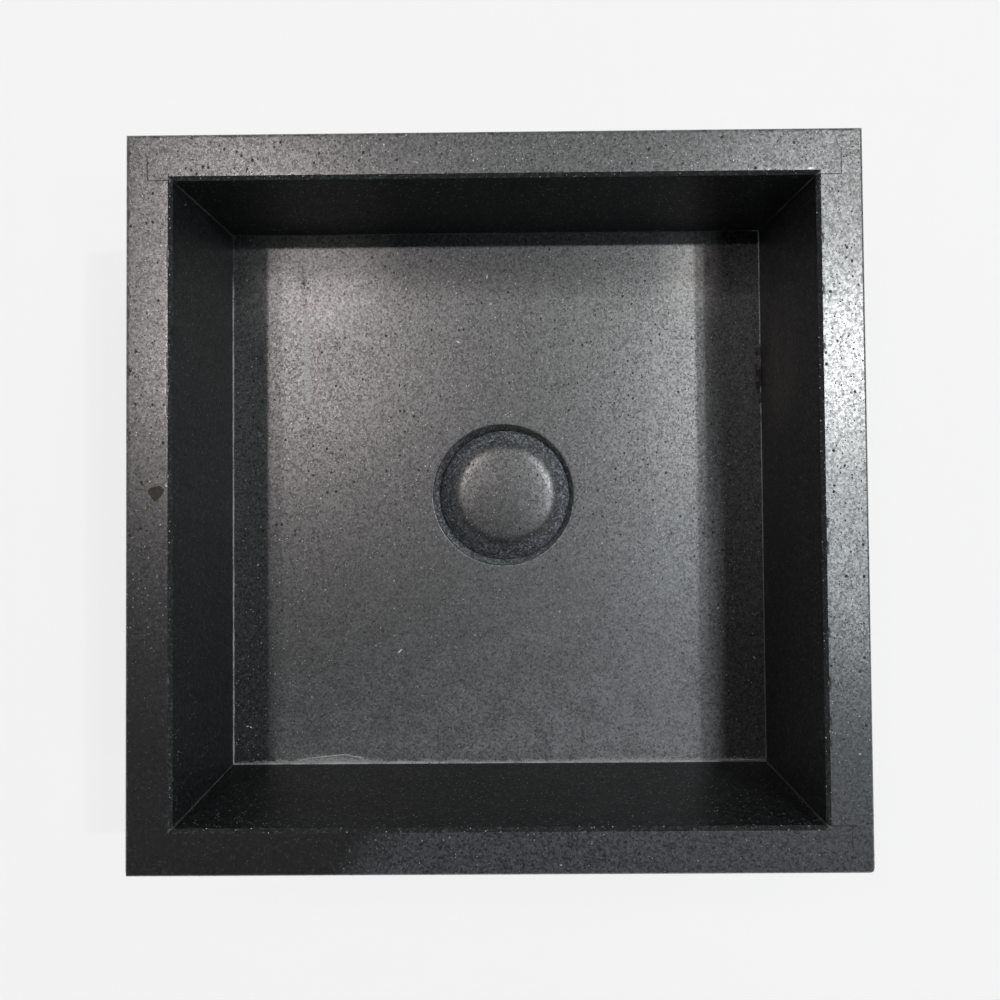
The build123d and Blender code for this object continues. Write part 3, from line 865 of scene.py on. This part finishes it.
def carve(piece, cutter):
    """Cut the cutter's shape out of a piece, with the cutter's material on the new faces."""
    piece.modifiers.clear()
    cut = piece.modifiers.new("cut", "BOOLEAN")
    cut.operation = "DIFFERENCE"
    cut.solver = "EXACT"
    cut.material_mode = "TRANSFER"
    cut.object = cutter
    bpy.context.view_layer.update()
    evaluated = piece.evaluated_get(bpy.context.evaluated_depsgraph_get())
    mesh = bpy.data.meshes.new_from_object(evaluated)
    piece.modifiers.clear()
    piece.data = mesh
    bpy.data.objects.remove(cutter)
    even_shading(piece)


carve(left_slab, chip_cutter())

# The rounding of the recess's mouth, its unevenness and how deep cleaning has worn it in places
MOUTH_ROUND = 0.42 * MM
MOUTH_WAVE = 0.10 * MM
MOUTH_BITE = 0.55 * MM


def square_ring(half, height, angles):
    """Points where rays from the drain's axis at these angles meet a square about the origin."""
    points = []
    for angle in angles:
        dx, dy = math.cos(angle), math.sin(angle)
        reach_x = (math.copysign(half, dx) - DRAIN_X) / dx if abs(dx) > 1e-9 else 1e9
        reach_y = (math.copysign(half, dy) - DRAIN_Y) / dy if abs(dy) > 1e-9 else 1e9
        reach = min(reach_x, reach_y)
        points.append((DRAIN_X + reach * dx, DRAIN_Y + reach * dy, height))
    return points


def floor_slab_piece():
    """Bottom slab, whose recess mouth is rounded and worn by cleaning."""
    half = slab_high.x
    sides = (half, -half)
    corners = [math.atan2(y - DRAIN_Y, x - DRAIN_X) for x in sides for y in sides]
    angles = sorted(round_angles(FLOOR_POINTS) + [corner % (2 * math.pi) for corner in corners])
    slope = (RECESS_MOUTH_R - RECESS_FLOOR_R) / (FLOOR_Z - RECESS_FLOOR_Z)
    profile = [
        (RECESS_MOUTH_R + 6 * MM, FLOOR_Z),
        (RECESS_MOUTH_R + 2 * MM, FLOOR_Z),
        (RECESS_MOUTH_R, FLOOR_Z, 1),
        (RECESS_MOUTH_R - 1.2 * MM * slope, FLOOR_Z - 1.2 * MM),
        ((RECESS_MOUTH_R + RECESS_FLOOR_R) / 2, (FLOOR_Z + RECESS_FLOOR_Z) / 2),
        (RECESS_FLOOR_R, RECESS_FLOOR_Z, 1.6),
        (DRAIN_HOLE_R + 2 * MM, RECESS_FLOOR_Z),
        (DRAIN_HOLE_R, RECESS_FLOOR_Z, 0.6),
        (DRAIN_HOLE_R, POCKET_Z, 0.6),
        (POCKET_R - 2 * MM, POCKET_Z),
        (POCKET_R, POCKET_Z, 0.6),
        (POCKET_R, 0.0, 0.6),
        (POCKET_R + 3 * MM, 0.0),
    ]

    def worn_mouth(r):
        """Radius by angle of a ring at the mouth."""

        def radius(angle):
            place = (r * math.cos(angle), r * math.sin(angle), 0)
            bite = max(0.0, rough_noise(place, 420, 4) - 0.25)
            return r + MOUTH_WAVE * rough_noise(place, 1100, 2) + MOUTH_BITE * bite

        return radius

    rings = []
    for r, z in rounded(profile, MOUTH_ROUND, steps=4):
        near_mouth = abs(r - RECESS_MOUTH_R) < 0.9 * MM and z > FLOOR_Z - 1.0 * MM
        rings.append(circle(worn_mouth(r) if near_mouth else r, z, angles))
    edge = 0.3 * MM
    outline = [(half - edge, 0.0), (half, edge), (half, FLOOR_Z), (INNER + 1 * MM, FLOOR_Z), (0.100, FLOOR_Z)]
    rings += [square_ring(reach, height, angles) for reach, height in outline]
    skin_piece("floor_slab_stone", rings, floor_stone, "stone_floor", ["floor_slab"], 30.0, loop=True)


floor_slab_piece()


# Steps of the cap's profile, and how far its surface waves over long and short stretches
SHOULDER_STEPS = 16
CROWN_STEPS = 12
CAP_WAVE = 0.05 * MM
CAP_GRAIN = 0.03 * MM


def cap_profile():
    """Dome profile from the under side out to the rim and up to the crown, as radius and height."""
    land_top_z = cap_low.z + CAP_BEVEL + CAP_LAND
    crown_z = cap_high.z
    crown_radius = (CAP_CROWN_R**2 + CAP_CROWN_SAG**2) / (2 * CAP_CROWN_SAG)
    edge = Vector((CAP_CROWN_R, crown_z - CAP_CROWN_SAG))
    tangent = Vector((crown_radius - CAP_CROWN_SAG, -CAP_CROWN_R)).normalized()
    inward = Vector((tangent.y, -tangent.x))
    chord = Vector((CAP_R, land_top_z)) - edge
    shoulder_radius = chord.length_squared / (2 * chord.dot(inward))
    centre = edge + inward * shoulder_radius
    start = math.atan2(edge.y - centre.y, edge.x - centre.x)
    end = math.atan2(land_top_z - centre.y, CAP_R - centre.x)
    foot_r = CAP_R - CAP_BEVEL
    profile = [(foot_r - 8 * MM, cap_low.z), (foot_r, cap_low.z), (CAP_R, cap_low.z + CAP_BEVEL)]
    for k in range(SHOULDER_STEPS + 1):
        angle = end + (start - end) * k / SHOULDER_STEPS
        r = centre.x + shoulder_radius * math.cos(angle)
        profile.append((r, centre.y + shoulder_radius * math.sin(angle)))
    for k in range(1, CROWN_STEPS):
        r = CAP_CROWN_R * (1 - k / CROWN_STEPS)
        profile.append((r, crown_z - (crown_radius - math.sqrt(crown_radius**2 - r**2))))
    return profile


def cap_piece():
    """Domed stone cap, turned by eye, so its shoulder is very slightly uneven."""

    def uneven(r, z):
        """Radius by angle of a ring of the cap."""

        def radius(angle):
            place = (r * math.cos(angle), r * math.sin(angle), z)
            wave = CAP_WAVE * (1 + rough_noise(place, 60, 6))
            return r - wave - CAP_GRAIN * (1 + rough_noise(place, 700, 8))

        return radius

    angles = round_angles(CAP_POINTS)
    rings = [circle(uneven(r, z), z, angles, CAP_CENTRE) for r, z in cap_profile()]
    poles = {"first_pole": (*CAP_CENTRE, cap_low.z), "last_pole": (*CAP_CENTRE, cap_high.z)}
    skin_piece("cap_stone_dome", rings, cap_stone, "stone_cap", ["stone_cap"], 40.0, PLUG, **poles)


cap_piece()


# Glue in the corner joints

# The bead's mean width, how much it varies over long and short stretches, its least width, and how far it is
# sunk at the rim
CORNER_BEAD = 0.42 * MM
CORNER_SWELL = 0.30 * MM
CORNER_ROUGHNESS = 0.22 * MM
LEAST_BEAD = 0.05 * MM
SUNK = 0.04 * MM
CORNER_STEPS = 110


def corner_glue_piece(side, end):
    """Filler in one stepped corner joint: sunk a little at the rim, with an uneven fillet in the corner."""
    node = "corner_seam_" + ("back_" if end > 0 else "front_") + ("right" if side > 0 else "left")
    seed = side * 3.1 + end * 7.7
    rings = []
    for k in range(CORNER_STEPS + 1):
        z = ROOF_Z + (RIM_Z - ROOF_Z) * k / CORNER_STEPS
        low = min(INNER_ARRIS, max(0.0, z - (RIM_Z - INNER_ARRIS)))
        open_x = INNER + low
        swell = CORNER_SWELL * rough_noise((0, 0, z), 60, seed)
        bead = CORNER_BEAD + swell + CORNER_ROUGHNESS * rough_noise((0, 0, z), 420, seed)
        bead = max(LEAST_BEAD, bead) * (1 if low <= 0 else 0.15)
        points = [
            (LIP, LIP),
            (LIP - GLUE, LIP),
            (LIP - GLUE, INNER),
            (open_x - bead if low <= 0 else open_x, INNER),
            (open_x - 0.35 * bead, INNER - GLUE * 0.4 - 0.35 * bead),
            (open_x, INNER - GLUE - bead),
            (open_x + 0.4 * MM, INNER - GLUE),
            (LIP, INNER - GLUE),
        ]
        height = z - SUNK if k == CORNER_STEPS else z
        rings.append([(side * x, end * y, height) for x, y in points])
    skin_piece(node + "_filler", rings, corner_glue, "stone_glue", [node], 40.0, flat_ends=True)


for corner_side in (-1, 1):
    for corner_end in (-1, 1):
        corner_glue_piece(corner_side, corner_end)


# Glue round the floor slab. Each side has its turn in degrees from the right side, the width of its bead and
# how much that varies, stretches of extra width along it as (middle, half length, width), and gaps where the
# bead has chipped out as (middle, half length).

SEAMS = {
    "floor_seam_back": {"turn": 90, "base": 0.35 * MM, "swell": 0.25 * MM},
    "floor_seam_front": {
        "turn": -90, "base": 0.75 * MM, "swell": 0.30 * MM,
        "wide": [(-0.108, 0.026, 0.5 * MM), (0.105, 0.040, 0.7 * MM), (-0.055, 0.030, 0.6 * MM)],
    },
    "floor_seam_left": {"turn": 180, "base": 0.75 * MM, "swell": 0.30 * MM},
    "floor_seam_right": {
        "turn": 0, "base": 0.60 * MM, "swell": 0.22 * MM,
        "gaps": [(0.094, 0.006), (0.080, 0.010), (0.064, 0.004), (0.050, 0.002)],
    },
}
SEAM_STEPS = 420
LEAST_SEAM = 0.08 * MM
GAP_DEPTH = 1.1 * MM
FILLER_FOOT_Z = 0.15 * MM


def hump(place, middle, half):
    """Smooth rise from 0 at both ends of a stretch to 1 in its middle."""
    t = abs(place - middle) / half
    return 0.0 if t >= 1 else (1 - t * t) ** 2


def floor_glue_piece(node):
    """Uneven bead along one edge of the floor, with the filler below it."""
    seam = SEAMS[node]
    turn = Matrix.Rotation(math.radians(seam["turn"]), 3, "Z")
    seed = seam["turn"] / 10.0
    rings = []
    for k in range(SEAM_STEPS + 1):
        share = 2 * k / SEAM_STEPS - 1
        along = share * INNER
        place = (along, 0, 0)
        ragged = 0.6 * rough_noise(place, 700, seed) + 0.4 * rough_noise(place, 2200, seed)
        width = seam["base"] + seam["swell"] * (ragged + rough_noise(place, 120, seed + 3))
        for middle, half, extra in seam.get("wide", ()):
            width += hump(along, middle, half) * extra * (0.75 + 0.5 * rough_noise(place, 160, seed + 6))
        width = max(LEAST_SEAM, width)
        gap = max([hump(along, middle, half) for middle, half in seam.get("gaps", ())], default=0.0)
        gap = min(1.0, 3 * gap * (1 + ragged))
        height = min(width, (0.7 + 0.25 * ragged) * MM) * (1 - gap)
        width = width * (1 - gap)
        x_wall = INNER + GAP_DEPTH * gap
        thin = 0.10 * MM * (1 - gap)
        section = [
            (x_wall + 0.4 * MM, ROOF_Z),
            (x_wall, ROOF_Z + max(0.0, height - GLUE) * (1 - gap)),
            (x_wall - 0.30 * width, FLOOR_Z + thin + 0.42 * height),
            (x_wall - 0.62 * width, FLOOR_Z + thin + 0.14 * height),
            (x_wall - 0.95 * width, FLOOR_Z + thin),
            (x_wall - width, FLOOR_Z),
            (LIP - GLUE, FLOOR_Z),
            (LIP - GLUE, FILLER_FOOT_Z),
            (LIP, FILLER_FOOT_Z),
            (LIP, ROOF_Z),
        ]
        rings.append([turn @ Vector((x, share * x, z)) for x, z in section])
    skin_piece(node + "_bead", rings, floor_glue, "stone_glue", [node], 50.0, flat_ends=True)


for seam_node in SEAMS:
    floor_glue_piece(seam_node)

# Raised outline of the dried crust at the front joint, and the faint line at its right, in metres in plan
CRUST_OUTLINE = [
    (-0.1315, -0.1727), (-0.1272, -0.1717), (-0.1215, -0.1709), (-0.1150, -0.1703), (-0.1086, -0.1695),
    (-0.1022, -0.1691), (-0.0986, -0.1696), (-0.0958, -0.1704), (-0.0901, -0.1710), (-0.0886, -0.1733),
]
CRUST_LINE = [(0.1117, -0.1719), (0.1180, -0.1712), (0.1262, -0.1699), (0.1348, -0.1681)]
CRUST_STEP = 0.5 * MM
CRUST_WANDER = 0.25 * MM


def crust_ridge(name, path, thick):
    """Thin uneven ridge of dried filler that lies on the floor along a path."""
    corners = [Vector(place) for place in path]
    points = []
    for start, end in zip(corners, corners[1:]):
        steps = max(2, round((end - start).length / CRUST_STEP))
        points += [start.lerp(end, k / steps) for k in range(steps)]
    points.append(corners[-1])
    rings = []
    for k, point in enumerate(points):
        along = (points[min(len(points) - 1, k + 1)] - points[max(0, k - 1)]).normalized()
        aside = Vector((-along.y, along.x))
        place = (point.x, point.y, 0)
        size = thick * (1 + 0.55 * rough_noise(place, 900, 12))
        middle = point + aside * CRUST_WANDER * rough_noise(place, 500, 15)
        ring = []
        for angle in round_angles(6):
            flat = middle + aside * size * math.cos(angle)
            ring.append((flat.x, flat.y, FLOOR_Z + 0.6 * size * math.sin(angle)))
        rings.append(ring)
    skin_piece(name, rings, floor_glue, "stone_glue", ["floor_seam_front"], 80.0, flat_ends=True)


crust_ridge("crust_outline", CRUST_OUTLINE, 0.36 * MM)
crust_ridge("crust_line", CRUST_LINE, 0.16 * MM)


# Waste under the basin

# Rings to one turn of the thread, half the width of its valley as a share of the pitch, and steps of an arm
THREAD_STEPS = 12
VALLEY_HALF = 0.40
ARM_STEPS = 12


def thread_radius(z, ease):
    """Radius by angle of the helical thread at a height, drawn in to its core as ease falls to nothing."""
    core = GROOVE_R + 0.1 * MM

    def radius(angle):
        phase = (z / THREAD_PITCH - angle / (2 * math.pi)) % 1.0
        valley = max(0.0, 1 - abs(phase - 0.5) / VALLEY_HALF)
        crest = THREAD_R - THREAD_DEPTH * min(1.0, valley * 1.12)
        return max(core, crest) * ease + (core + 0.25 * MM) * (1 - ease)

    return radius


def waste_shell():
    """Flange and tail of the waste, with its helical thread."""
    angles = round_angles(TURNED_POINTS)
    profile = rounded(
        [
            (TAIL_BORE_R, TAIL_LOW_Z, 1),
            (TAIL_BORE_R, FLANGE_TOP_Z - 1.0 * MM, 1),
            (TAIL_BORE_R + 1.0 * MM, FLANGE_TOP_Z, 1),
            (FLANGE_R - 0.8 * MM, FLANGE_TOP_Z, 1),
            (FLANGE_R, FLANGE_TOP_Z - 0.8 * MM, 1),
            (FLANGE_R, seal_high.z, 1),
            (THREAD_R, seal_high.z),
            (THREAD_R, GROOVE_TOP_Z, 1),
            (GROOVE_R, GROOVE_TOP_Z),
            (GROOVE_R, GROOVE_LOW_Z),
        ],
        0.3 * MM,
    )
    smooth = [circle(r, z, angles) for r, z in profile]
    low_z = TAIL_LOW_Z + 0.4 * MM
    rows = round((GROOVE_LOW_Z - low_z) / THREAD_PITCH * THREAD_STEPS)
    thread = []
    for k in range(rows + 1):
        z = GROOVE_LOW_Z + (low_z - GROOVE_LOW_Z) * k / rows
        ease = max(0.0, min(1.0, (GROOVE_LOW_Z - z) / (0.8 * MM), (z - low_z) / (1.6 * MM)))
        thread.append(circle(thread_radius(z, ease), z, angles))
    thread.append(circle(GROOVE_R - 0.2 * MM, TAIL_LOW_Z, angles))
    rings = smooth[4:] + thread + smooth[:4]
    skin_piece("waste_shell", rings, chrome_plating, "waste_metal", ["waste_body"], 38.0, loop=True)


def waste_web():
    """Hub and three arms inside the tail, cast in one with it."""
    corners = [
        (HUB_BORE_R, HUB_LOW_Z, 1), (HUB_BORE_R, HUB_TOP_Z, 1), (HUB_R, HUB_TOP_Z, 1), (HUB_R, HUB_LOW_Z, 1),
    ]
    bm = bmesh.new()
    angles = round_angles(HUB_POINTS)
    add_rings(bm, [circle(r, z, angles) for r, z in rounded(corners, 0.5 * MM)], loop=True)
    start = HUB_R - 1.0 * MM
    end = TAIL_BORE_R + 1.0 * MM
    for arm in range(3):
        turn = Matrix.Rotation(math.radians(90 + 120 * arm), 3, "Z")
        rings = []
        for k in range(ARM_STEPS + 1):
            along = start + (end - start) * k / ARM_STEPS
            flare = max(0.0, 1 - (along - HUB_R) / ARM_FILLET, 1 - (TAIL_BORE_R - along) / ARM_FILLET)
            half = ARM_HALF_WIDTH + 0.8 * MM * min(1.0, flare) ** 2
            low, high = HUB_LOW_Z, ARM_TOP_Z
            section = rounded([(-half, low, 1), (half, low, 1), (half, high, 1), (-half, high, 1)], 0.7 * MM)
            rings.append([turn @ Vector((along, y, z)) + Vector((DRAIN_X, DRAIN_Y, 0)) for y, z in section])
        add_rings(bm, rings, flat_ends=True)
    add_piece("waste_web", bm, chrome_plating, BASIN, ["waste_body"], sharp=38.0)


waste_shell()
waste_web()

# Heights in millimetres above the nut's low face at which its chamfered hexagon is drawn
NUT_LEVELS = (0.0, 0.35, 0.8, 1.3, 1.9, 2.6, 3.5)
CHAMFER_SLOPE = 1.732
CORNER_FROM = 0.49


def lock_nut_piece():
    """Flanged hexagonal nut with chamfered corners."""
    angles = round_angles(NUT_POINTS)
    half = NUT_FLATS / 2
    hex_top = nut_high.z - NUT_FLANGE_THICK
    bore = THREAD_R + 0.1 * MM

    def hexagon(z, proud=0.0):
        """Radius by angle of the hexagon at a height, turned off at its corners near the low face."""
        limit = half + 0.4 * MM + (z - nut_low.z) * CHAMFER_SLOPE

        def radius(angle):
            from_flat = (angle % (math.pi / 3)) - math.pi / 6
            corner = 0.15 * MM if abs(from_flat) > CORNER_FROM else 0.0
            return min(half / math.cos(from_flat) - corner, limit) + proud

        return radius

    rings = [
        circle(bore, nut_low.z + 1.0 * MM, angles),
        circle(bore + 1.0 * MM, nut_low.z, angles),
        circle(half - 0.8 * MM, nut_low.z, angles),
    ]
    for level in NUT_LEVELS:
        z = nut_low.z + level * MM
        rings.append(circle(hexagon(z), z, angles))
    rings.append(circle(hexagon(hex_top), hex_top - 0.3 * MM, angles))
    rings.append(circle(hexagon(hex_top, 0.25 * MM), hex_top, angles))
    flange = rounded(
        [
            (half - 0.2 * MM, hex_top),
            (NUT_FLANGE_R, hex_top + 0.4 * MM, 1),
            (NUT_FLANGE_R, nut_high.z, 1),
            (bore, nut_high.z, 1),
        ],
        0.35 * MM,
    )
    rings += [circle(r, z, angles) for r, z in flange[1:]]
    skin_piece("lock_nut_hex", rings, nut_brass, "nut_brass", ["lock_nut"], 24.0, loop=True)


lock_nut_piece()


def turned_ring(node, profile, material, slot):
    """Ring about the drain's axis from a closed profile, in place of its CAD node."""
    angles = round_angles(TURNED_POINTS)
    rings = [circle(r, z, angles) for r, z in rounded(profile, 0.25 * MM)]
    skin_piece(node + "_ring", rings, material, slot, [node], loop=True)


turned_ring(
    "lower_gasket",
    [
        (THREAD_R + 0.1 * MM, gasket_low.z, 1),
        (GASKET_R, gasket_low.z, 2),
        (GASKET_R, POCKET_Z, 2),
        (22.55 * MM, POCKET_Z, 1),
        (21.95 * MM, gasket_high.z, 2),
        (THREAD_R + 0.1 * MM, gasket_high.z, 1),
    ],
    black_rubber, "seal_rubber",
)
turned_ring(
    "flange_seal",
    [
        (THREAD_R + 0.3 * MM, seal_low.z, 1),
        (SEAL_R, seal_low.z, 1.5),
        (SEAL_R, seal_high.z, 1.5),
        (THREAD_R + 0.3 * MM, seal_high.z, 1),
    ],
    black_rubber, "seal_rubber",
)
turned_ring(
    "slip_washer",
    [
        (THREAD_R + 0.3 * MM, nut_high.z, 1),
        (GASKET_R, nut_high.z, 1),
        (GASKET_R, gasket_low.z, 1),
        (THREAD_R + 0.3 * MM, gasket_low.z, 1),
    ],
    washer_plastic, "washer_plastic",
)

CAD_FINISH = {
    "latch_barrel": latch_plastic,
    "barrel_end_plug": latch_plastic,
    "latch_rotor": latch_plastic,
    "latch_spring": spring_steel,
    "plunger": stem_brass,
    "stem_nut": stem_steel,
    "plug_disc": chrome_plating,
    "plug_seal": black_rubber,
    "cap_adhesive": adhesive_grey,
}
for cad_node, finish in CAD_FINISH.items():
    cad_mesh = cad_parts[cad_node].data
    cad_mesh.materials.clear()
    cad_mesh.materials.append(finish)


# Stage

STAGE_Z = TAIL_LOW_Z - 0.5 * MM
STAGE_R = 2.4
STAGE_CURVE = 0.9
STAGE_TOP = 2.2
STAGE_GLOW = 0.76
CURVE_STEPS = 12


def stage_material():
    """Pale paper that shows as near white to the camera and in reflections, and still takes a shadow."""
    graph = Graph("pale_paper")
    tree = graph.tree
    fibre = graph.noise(9, 4.0, 0.6)
    graph.set(Base_Color=graph.mix(fibre, grey(0.80), grey(0.84)), Roughness=0.9, Specular_IOR_Level=0.1)
    rays = tree.nodes.new("ShaderNodeLightPath").outputs
    seen = graph.highest(rays["Is Camera Ray"], rays["Is Glossy Ray"], rays["Is Transmission Ray"])
    glow = graph.node("ShaderNodeEmission", {"Color": grey(1.0), "Strength": 1.0})
    blend = graph.node("ShaderNodeMixShader", {0: graph.times(seen, STAGE_GLOW)})
    tree.links.new(graph.shader.outputs[0], blend.inputs[1])
    tree.links.new(glow.outputs[0], blend.inputs[2])
    tree.links.new(blend.outputs[0], tree.nodes["Material Output"].inputs["Surface"])
    return graph.material


def stage():
    """Floor that curves up into a round backdrop."""
    profile = [(0.3, STAGE_Z), (0.8, STAGE_Z), (1.5, STAGE_Z)]
    for k in range(CURVE_STEPS + 1):
        a = math.pi / 2 * k / CURVE_STEPS
        height = STAGE_Z + STAGE_CURVE * (1 - math.cos(a))
        profile.append((STAGE_R - STAGE_CURVE + STAGE_CURVE * math.sin(a), height))
    profile.append((STAGE_R, STAGE_TOP))
    angles = round_angles(TURNED_POINTS)
    bm = bmesh.new()
    add_rings(bm, [circle(r, z, angles, (0, 0)) for r, z in profile], first_pole=(0, 0, STAGE_Z))
    bmesh.ops.recalc_face_normals(bm, faces=bm.faces)
    bmesh.ops.reverse_faces(bm, faces=bm.faces)
    mesh_object("stage_floor", bm, stage_material())


stage()

# Light: two pairs of small lamps overhead, left and right of the bowl and behind it, and four long soft lamps
LAMP_Z = 2.35
SMALL = (0.03, 0.05)
WARM = (1.06, 0.98, 0.97)
NEUTRAL = (0.97, 1.0, 1.0)
COOL = (0.92, 1.0, 1.06)
LAMPS = {
    "lamp_left": {"place": (-0.615, 0.347), "size": SMALL, "power": 5.5, "tint": WARM},
    "lamp_far_left": {"place": (-0.789, 0.347), "size": SMALL, "power": 2.0, "tint": WARM},
    "lamp_right": {"place": (0.866, 0.347), "size": SMALL, "power": 4.0, "tint": NEUTRAL},
    "lamp_far_right": {"place": (0.977, 0.347), "size": SMALL, "power": 13.2, "tint": NEUTRAL},
    "strip_back": {"place": (0.050, 0.950), "size": (0.70, 0.12), "power": 1.8, "tint": NEUTRAL},
    "strip_back_left": {"place": (-0.700, 0.800), "size": (0.16, 0.45), "power": 5.0, "tint": WARM},
    "strip_back_right": {"place": (0.940, 0.950), "size": (0.12, 0.50), "power": 4.5, "tint": NEUTRAL},
    "strip_right": {"place": (0.960, -0.250), "size": (0.12, 0.70), "power": 6.0, "tint": COOL},
}
for name, lamp in LAMPS.items():
    data = bpy.data.lights.new(name, "AREA")
    data.shape = "RECTANGLE"
    data.size, data.size_y = lamp["size"]
    data.energy = lamp["power"]
    data.color = lamp["tint"]
    light = bpy.data.objects.new(name, data)
    light.location = (*lamp["place"], LAMP_Z)
    aim = Vector((0, 0, RIM_Z)) - light.location
    light.rotation_euler = aim.to_track_quat("-Z", "Y").to_euler()
    bpy.context.scene.collection.objects.link(light)

world = bpy.data.worlds.new("plain_world")
world.use_nodes = True
world.node_tree.nodes["Background"].inputs["Color"].default_value = (0.020, 0.022, 0.023, 1)
world.node_tree.nodes["Background"].inputs["Strength"].default_value = 1.0
bpy.context.scene.world = world

# Camera, fitted to the outline's, rim's and floor's corners in the photograph
camera_data = bpy.data.cameras.new("camera")
camera_data.sensor_width = 36
camera_data.lens = 34.981
camera_data.shift_x = 0.0049
camera_data.shift_y = -0.0440
camera = bpy.data.objects.new("camera", camera_data)
camera.location = (0.00353, 0.01021, 0.67288)
camera.rotation_euler = (0.02536, 0.00757, -0.00799)
bpy.context.scene.collection.objects.link(camera)
bpy.context.scene.camera = camera
bpy.context.scene.view_settings.view_transform = "Standard"
